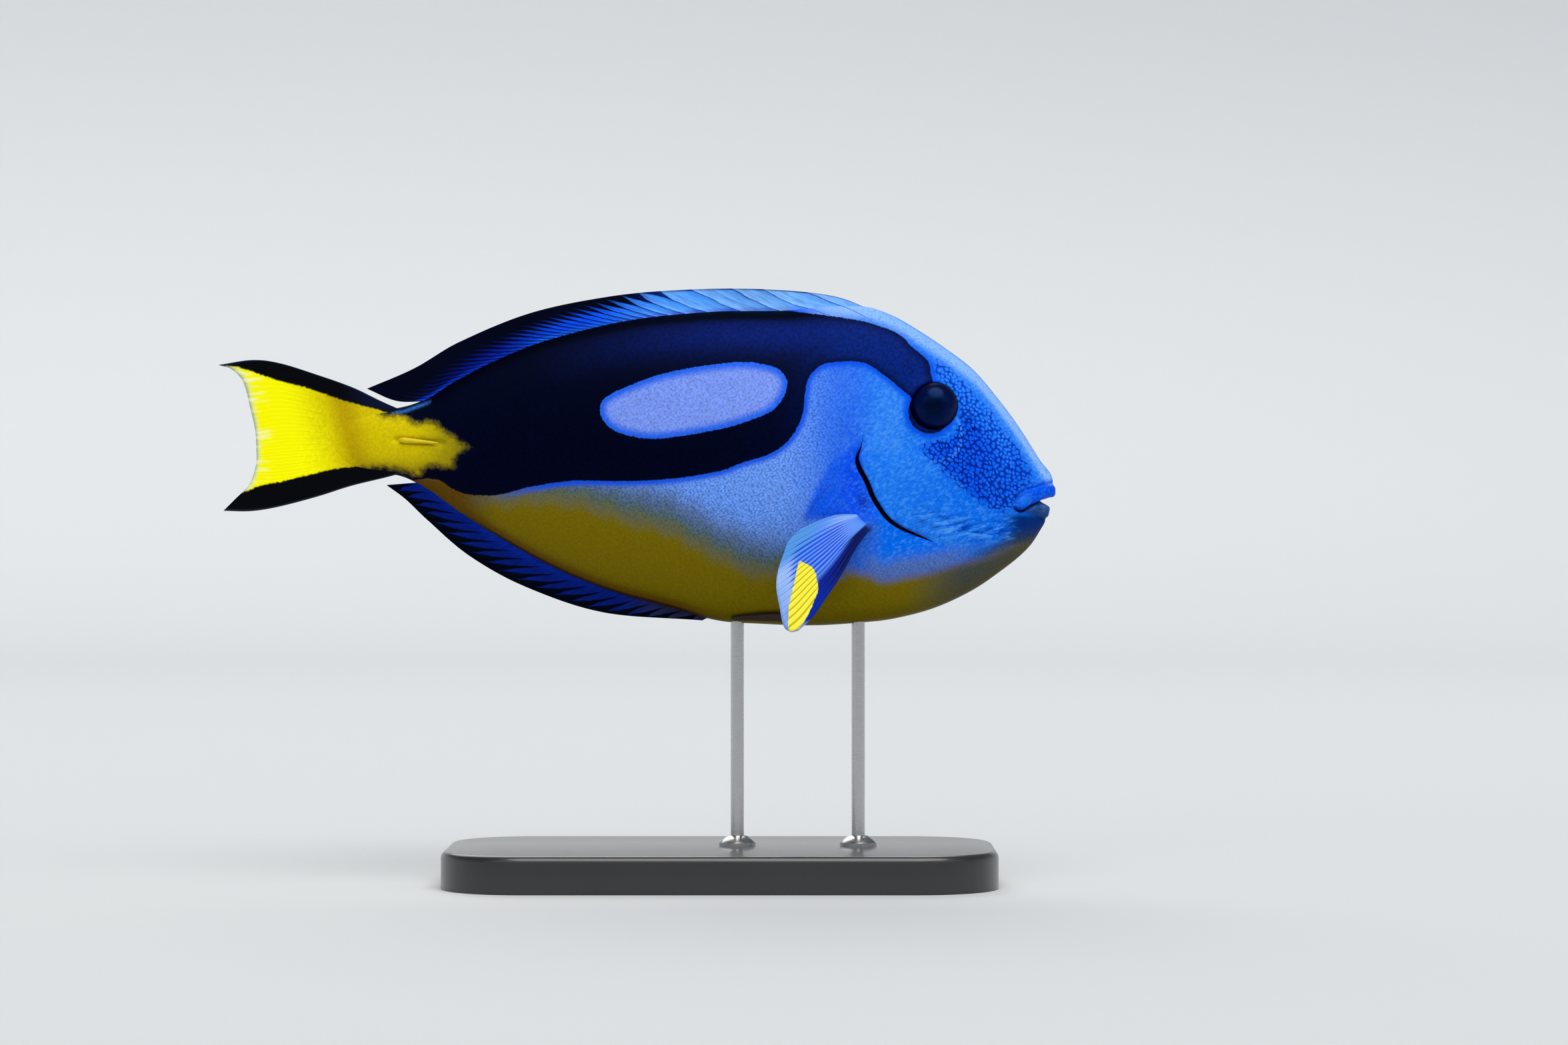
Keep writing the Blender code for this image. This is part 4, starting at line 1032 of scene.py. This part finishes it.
def makeDorsal():
    mesh, x, _, z, _, along = finSheet("dorsal", upright, 14, 30, dorsalPhase)
    share = dorsalShare(x, z)
    edge = smoothCurve(dorsalPlan["black"], x)
    rise = z - alongBody("back", x)
    rear = soft(x, 14, -22)
    paint = Paint(len(x), dorsalTones, "front")
    paint.lay("middle", soft(x, 36, 5))
    paint.lay("behind", soft(x, 10, -14))
    paint.lay("rear", soft(x, -16, -36))
    paint.lay("end", soft(x, -34, -48))
    paint.lay("foot", 0.8 * soft(rise, 0.9, 0.3) * soft(x, 50, 24))
    paint.lay("footMiddle", 0.85 * soft(rise, 1.0, 0.5) * soft(x, 6, -2) * soft(x, -32, -22))
    paint.lay("footRear", 0.7 * soft(rise, 1.0, 0.5) * soft(x, -22, -30) * soft(x, -50, -42))
    paint.lay("border", soft(share, edge - 0.5, edge + 0.05) * rear)
    paint.lay("rim", soft(along, 0.93, 0.97) * soft(x, -10, 10))
    line = Paint(len(x), dorsalTones, "ray")
    line.lay("rayRear", soft(x, 14, -4))
    stripe = 0.05 + 0.22 * rear + soft(x, 13, -2) * np.clip((share - edge + 0.5) / 0.58, 0, 1)
    keep(mesh, ground=paint.colour, line=line.colour, stripe=stripe)
    # sheen sets how strong the painted highlight between the rays is
    keep(mesh, sheen=0.45 * soft(x, -8, 12), blur=0.07 + 0.2 * rear)
    refine("dorsal_fin", mesh, finMaterial("dorsalFin", dorsalTones, 0.44))


analTones = {"outer": (3, 24, 112), "inner": (6, 40, 156), "front": (36, 40, 74), "ray": (0, 1, 10)}


def analPhase(x, z):
    return (x + 1.75 * (alongBody("belly", x) - z)) / 3.5


def makeAnal():
    mesh, x, _, _, _, along = finSheet("anal", upright, 12, 30, analPhase)
    paint = Paint(len(x), analTones, "outer")
    paint.lay("inner", soft(along, 0.5, 0.1))
    paint.lay("front", soft(x, -6, 8))
    line = Paint(len(x), analTones, "ray")
    edge = 0.84 + 0.08 * soft(x, -20, 10)
    widening = 0.62 * np.clip((along - 0.2) / 0.6, 0, 1)
    border = 0.6 * np.clip((along - edge + 0.14) / 0.24, 0, 1)
    keep(mesh, ground=paint.colour, line=line.colour, stripe=-0.1 + widening + border, blur=0.12)
    refine("anal_fin", mesh, finMaterial("analFin", analTones, -0.52))


caudalYellow = [
    (-99.0, 24.2), (-86.1, 20.6), (-79.4, 18.9), (-70.4, 15.8), (-65.9, 14.6), (-58.0, 12.0),
    (-50.0, 6.0), (-58.7, -0.4), (-63.7, 0.4), (-68.2, 0.0), (-72.6, -0.5), (-79.4, -2.1),
    (-86.1, -3.7), (-90.6, -4.5), (-96.0, -6.2), (-104.0, -2.0), (-104.0, 18.0),
]


caudalTones = {
    "hem": (180, 200, 190), "frill": (250, 250, 196), "between": (206, 180, 0), "black": (1, 2, 7),
    "blackRoot": (8, 22, 60), "blackTop": (26, 46, 88), "blackUnder": (40, 46, 60),
}


def flatSheet(x, z, across, along):
    return 0.0 * x


def makeCaudal():
    mesh, x, y, z, across, along = finSheet("caudal", flatSheet, 8, 44)
    seenX, seenZ = asSeen(x, y, z)
    paint = Paint(len(x), caudalTones, "hem")
    paint.lay(tailGold(seenX, seenZ), 1 - soft(along, 0.965, 1.0))
    black = Paint(len(x), caudalTones, "black")
    # navy by the upper lobe's root: partly its own colour, partly painted sheen
    black.lay("blackRoot", 0.7 * soft(z, 12, 15) * soft(x, -72, -60))
    # painted highlight along the upper lobe's top edge
    black.lay("blackTop", 0.8 * soft(across, 0.02, 0.0) * soft(along, 0.1, 0.25))
    black.lay("blackUnder", soft(across, 0.985, 1.0))
    yellow = insideOutline(smoothLine(caudalYellow, closed=True), seenX, seenZ)
    keep(mesh, ground=paint.colour, dark=black.colour, yellow=yellow)
    keep(mesh, frill=soft(along, 0.86, 1.0), outer=soft(x, -74, -84))
    tail = Finish("caudalFin", 0.45, caudalTones, gloss=0.05)
    fine = tail.noise(tail.place(), 0.7, 4.0)
    ground = tail.read("ground", "Color")
    colour = ground.shade(fine.ramp(0.3, 0.7, 0.9, 1.08)).lay(ground, tail.read("outer"))
    between = tail.read("phase").op("PINGPONG", 0.25) * 4.0
    colour = colour.lay("between", between.ramp(0.5, 1.0, 0.0, 0.06))
    streaks = tail.noise(tail.place((3.3, 1.0, 0.62)), 2.0, 3.0)
    colour = colour.lay("frill", tail.read("frill") * streaks.ramp(0.48, 0.66))
    edge = (tail.read("yellow") + (fine - 0.5) * 0.7).ramp(-0.25, 0.25)
    colour = tail.read("dark", "Color").lay(colour, edge)
    material = tail.dress({"Base Color": colour, "Normal": tail.bump(fine, 0.04, 0.4)})
    refine("caudal_fin", mesh, material)


pectoralYellow = [
    (38.8, -22.6), (40.2, -23.0), (41.9, -24.0), (42.9, -26.4), (43.2, -29.1), (42.4, -31.5),
    (41.6, -33.4), (40.3, -36.0), (39.0, -37.9), (37.6, -38.9), (36.3, -38.4), (36.2, -35.5),
    (36.3, -33.4), (36.8, -31.0), (37.6, -27.5), (38.2, -24.5),
]


pectoralTones = {
    "fin": (92, 146, 242), "glow": (126, 160, 244), "root": (30, 102, 240), "tip": (136, 172, 236),
    "hindPale": (146, 190, 246), "hindTeal": (80, 148, 216), "marginPale": (152, 184, 236),
    "leading": (2, 34, 150), "leadingDark": (0, 14, 78), "leadingRoot": (0, 12, 76), "ray": (4, 50, 206),
    "gold": (244, 238, 70), "goldRay": (196, 170, 20),
}


def makePectorals():
    mesh, x, _, z, across, along = finSheet("pectoral", pectoralY, 8, 40)
    paint = Paint(len(x), pectoralTones, "fin")
    paint.lay("glow", 0.5 * bell(along - 0.3, 0.14) * soft(across, 0.3, 0.5))
    paint.lay("root", soft(along, 0.12, 0.03))
    # painted highlight along the fin's upper edge near its root
    paint.lay("hindPale", 0.8 * bell(across - 0.92, 0.07) * soft(along, 0.6, 0.2))
    paint.lay("hindTeal", 0.85 * soft(across, 0.62, 0.8) * soft(along, 0.5, 0.75))
    paint.lay("marginPale", soft(along, 0.78, 0.9) * soft(across, 0.1, 0.2) * soft(across, 0.8, 0.62))
    paint.lay("leading", soft(across, 0.3, 0.18) * soft(along, 0.05, 0.2))
    paint.lay("leadingDark", soft(across, 0.22, 0.1) * soft(along, 0.04, 0.14) * soft(along, 0.75, 0.35))
    paint.lay("leadingRoot", soft(across, 0.34, 0.24) * soft(along, 0.04, 0.1) * soft(along, 0.4, 0.2))
    paint.lay("tip", 0.9 * soft(along, 0.9, 0.97) * soft(across, 0.6, 0.4))
    stripe = 0.5 * soft(along, 0.14, 0.36) * soft(across, 0.94, 0.74) * soft(across, 0.2, 0.34)
    yellow = insideOutline(smoothLine(pectoralYellow, closed=True), x, z)
    keep(mesh, ground=paint.colour, stripe=stripe * soft(along, 0.94, 0.8), yellow=yellow)
    fin = Finish("pectoralFin", 0.45, pectoralTones, gloss=0.05)
    fine = fin.noise(fin.place(), 0.8, 3.0)
    between = fin.read("phase").op("PINGPONG", 0.5) * 2.0
    lines = (between + fin.read("stripe") - 1.0).ramp(-0.2, 0.2)
    colour = fin.read("ground", "Color").lay("ray", lines * 0.85)
    gold = fin.mix(between.ramp(0.55, 0.95), "gold", "goldRay")
    colour = colour.lay(gold, (fin.read("yellow") + (fine - 0.5) * 0.6).ramp(-0.15, 0.15))
    addPair("pectoral_fin", mesh, fin.dress({"Base Color": colour, "Normal": fin.bump(fine, 0.03, 0.4)}))


pelvicTones = {"skin": (70, 58, 50), "edge": (16, 12, 14), "ray": (20, 15, 14)}


def makePelvics():
    mesh, x, _, _, across, _ = finSheet("pelvic", pelvicY, 10, 30)
    paint = Paint(len(x), pelvicTones, "skin")
    paint.lay("edge", soft(across, 0.7, 1.0))
    line = Paint(len(x), pelvicTones, "ray")
    keep(mesh, ground=paint.colour, line=line.colour, stripe=0.2, blur=0.07)
    addPair("pelvic_fin", mesh, finMaterial("pelvicFin", pelvicTones, 0.0))


# Eyes and caudal spines

eyeTones = {"pupil": (0, 2, 26), "iris": (1, 8, 56), "rim": (0, 2, 20)}


def makeEyes():
    eye = Finish("wetEye", 0.25, eyeTones, gloss=0.25, tint=(0.06, 0.3, 1.0))
    away = eye.read("fromPupil")
    colour = eye.mix(away.ramp(1.6, 3.4), "pupil", "iris").lay("rim", away.ramp(4.2, 5.6))
    material = eye.dress({"Base Color": colour})
    x, y, z = eyePlan["centre"]
    radius, depth = eyePlan["radius"], eyePlan["depth"]
    for side, name in ((1, "eye_left"), (-1, "eye_right")):
        mesh = sphereMesh(name, 64, 40)
        co = coordinates(mesh)
        setCoordinates(mesh, x + radius * co[:, 0], side * (y + depth * co[:, 2]), z + radius * co[:, 1])
        keep(mesh, fromPupil=radius * np.hypot(co[:, 0], co[:, 1]))
        refine(name, mesh, material)


spinePlan = {"root": (-57.0, 6.4), "tip": (-47.4, 5.6), "tall": 1.5, "thick": 1.6}
spineTones = {"light": (228, 206, 8), "deep": (200, 176, 4)}


def makeSpines():
    spine = Finish("spineYellow", 0.35, spineTones, gloss=0.25)
    mottle = spine.noise(spine.place(), 1.5, 3.0)
    material = spine.dress({"Base Color": spine.mix(mottle, "light", "deep")})
    rootX, rootZ = spinePlan["root"]
    tipX, tipZ = spinePlan["tip"]
    for side, name in ((1, "caudal_spine_left"), (-1, "caudal_spine_right")):
        mesh = sphereMesh(name, 28, 40)
        co = coordinates(mesh)
        share = (1 - co[:, 2]) / 2
        angle = np.arctan2(co[:, 0], co[:, 1])
        x = rootX + share * (tipX - rootX)
        z = rootZ + share * (tipZ - rootZ)
        full = np.sqrt(np.maximum(1 - share, 0)) * np.minimum(1.0, np.sqrt(np.maximum(share, 0) * 8))
        y = side * (skinY(x, z) + 0.1) + full * spinePlan["thick"] / 2 * np.sin(angle)
        setCoordinates(mesh, x, y, z + full * spinePlan["tall"] / 2 * np.cos(angle))
        refine(name, mesh, material)


# Stand

standPlan = {
    "centreX": 20.0,
    "size": (132.0, 68.0, 9.0),
    "corner": 20.0,
    "edge": 1.6,
    "rodX": {"stand_rod_front": 53.0, "stand_rod_rear": 24.0},
    "rodRadius": 1.6,
    "rodFoot": 3.0,
    "rodSunk": 7.0,
    "collarRadius": 4.4,
    "collarHeight": 2.4,
}


def lacquerMaterial():
    lacquer = Finish("blackLacquer", 0.32, coat=0.35)
    straight = lacquer.place()
    colour = lacquer.mix(lacquer.noise(straight, 30.0, 4.0), (0.012, 0.012, 0.014), (0.022, 0.022, 0.025))
    ripple = lacquer.bump(lacquer.noise(straight, 1.2, 3.0), 0.02, 0.25)
    return lacquer.dress({"Base Color": colour, "Normal": ripple})


def steelMaterial():
    steel = Finish("brushedSteel", 0.3)
    scratch = steel.noise(steel.place((1.0, 1.0, 0.07)), 3.0, 4.0, 0.7)
    colour = steel.mix(scratch, (0.46, 0.46, 0.47), (0.58, 0.58, 0.59))
    steel.dress({"Metallic": 1.0, "Roughness": scratch.ramp(0.2, 0.8, 0.2, 0.3)})
    return steel.dress({"Base Color": colour, "Normal": steel.bump(scratch, 0.01, 0.2)})


def bevelEdges(shape, edges, offset, segments):
    bmesh.ops.bevel(shape, geom=edges, offset=offset * mm, offset_type="OFFSET", segments=segments,
                    profile=0.5, affect="EDGES", material=-1)


def makeBase(material):
    plan = standPlan
    height = plan["size"][2] * mm
    shape = bmesh.new()
    bmesh.ops.create_cube(shape, size=1.0)
    bmesh.ops.scale(shape, verts=shape.verts, vec=Vector(plan["size"]) * mm)
    bmesh.ops.translate(shape, verts=shape.verts, vec=Vector((plan["centreX"] * mm, 0.0, height / 2)))
    corners = [e for e in shape.edges if abs(e.verts[0].co.z - e.verts[1].co.z) > height / 2]
    bevelEdges(shape, corners, plan["corner"], 24)
    rim = [e for e in shape.edges if all(v.co.z > height - 1e-4 for v in e.verts)]
    bevelEdges(shape, rim, plan["edge"], 5)
    base = refine("stand_base", finishMesh(shape, "stand_base"), material)
    base.data.set_sharp_from_angle(angle=math.radians(35))


def makeRod(name, x, material):
    plan = standPlan
    foot, radius, collar = plan["rodFoot"], plan["rodRadius"], plan["collarRadius"]
    baseTop = plan["size"][2]
    collarTop = baseTop + plan["collarHeight"]
    top = axisHeight + float(alongBody("belly", x)) + plan["rodSunk"]
    outline = [
        (0.0, foot), (radius, foot), (radius, baseTop), (collar, baseTop), (collar, baseTop + 0.9),
        (collar - 0.5, baseTop + 1.4), (radius + 0.9, collarTop), (radius, collarTop + 0.2),
        (radius, top), (0.0, top),
    ]
    shape = turnedShape([(r * mm, z * mm) for r, z in outline], 48)
    bmesh.ops.translate(shape, verts=shape.verts, vec=Vector((x * mm, 0.0, 0.0)))
    rod = refine(name, finishMesh(shape, name), material)
    rod.data.set_sharp_from_angle(angle=math.radians(35))


# Studio

studioPlan = {
    "floor": 1.7,  # metres to where the round floor bends up into a low wall
    "bend": 0.5,
    "wallTop": 0.8,
    "paper": (0.62, 0.64, 0.66),
    "room": (0.9, 0.94, 1.0),
    "roomLight": 0.15,
    "lamps": {  # where each shines from, how many degrees wide it looks, its strength and colour
        "key": ((0.19, -0.6, 1.1), 50, 2.55, (1.0, 0.98, 0.95)),
        "fill": ((-0.51, -1.4, 0.4), 60, 0.7, (0.94, 0.97, 1.0)),
        "front": ((0.99, -0.8, 0.3), 50, 0.45, (1.0, 1.0, 1.0)),
        "back": ((-0.21, 0.9, 0.9), 42, 1.0, (1.0, 1.0, 1.0)),
    },
}


def makeSweep(plan):
    turns = [math.pi / 2 * i / 12 for i in range(13)]
    outline = [(0.0, 0.0), (0.4, 0.0), (1.0, 0.0)]
    outline += [(plan["floor"] + plan["bend"] * math.sin(t), plan["bend"] * (1 - math.cos(t))) for t in turns]
    outline.append((plan["floor"] + plan["bend"], plan["wallTop"]))
    shape = turnedShape(outline, 72)
    bmesh.ops.recalc_face_normals(shape, faces=shape.faces)
    mesh = bpy.data.meshes.new("sweep")
    shape.to_mesh(mesh)
    shape.free()
    mesh.shade_smooth()
    mesh.materials.append(Finish("palePaper", 0.9).dress({"Base Color": plan["paper"]}))
    sweep = bpy.data.objects.new("sweep", mesh)
    bpy.context.scene.collection.objects.link(sweep)


def makeStudio():
    plan = studioPlan
    makeSweep(plan)
    for name, (where, width, strength, colour) in plan["lamps"].items():
        data = bpy.data.lights.new(name, "SUN")
        data.angle = math.radians(width)
        data.energy = strength
        data.color = colour
        lamp = bpy.data.objects.new(name, data)
        bpy.context.scene.collection.objects.link(lamp)
        lamp.location = where
        lamp.rotation_euler = Vector(where).to_track_quat("Z", "Y").to_euler()
    world = bpy.data.worlds.new("softRoom")
    bpy.context.scene.world = world
    world.use_nodes = True
    background = world.node_tree.nodes["Background"]
    background.inputs["Color"].default_value = (*plan["room"], 1.0)
    background.inputs["Strength"].default_value = plan["roomLight"]
    bpy.context.scene.view_settings.view_transform = "Standard"


def makeCamera():
    data = bpy.data.cameras.new("camera")
    data.lens = view["lens"]
    data.sensor_width = view["sensor"]
    camera = bpy.data.objects.new("camera", data)
    bpy.context.scene.collection.objects.link(camera)
    camera.location = [value * mm for value in view["place"]]
    camera.rotation_euler = (math.pi / 2, 0.0, 0.0)
    bpy.context.scene.camera = camera


makeCamera()
makeStudio()
print("studio ready")
makeSkin(skinMaterial())
print("skin ready")
makeDorsal()
makeAnal()
makeCaudal()
makePectorals()
makePelvics()
print("fins ready")
makeEyes()
makeSpines()
makeBase(lacquerMaterial())
steel = steelMaterial()
for rodName, rodX in standPlan["rodX"].items():
    makeRod(rodName, rodX, steel)
print("eyes, spines and stand ready")
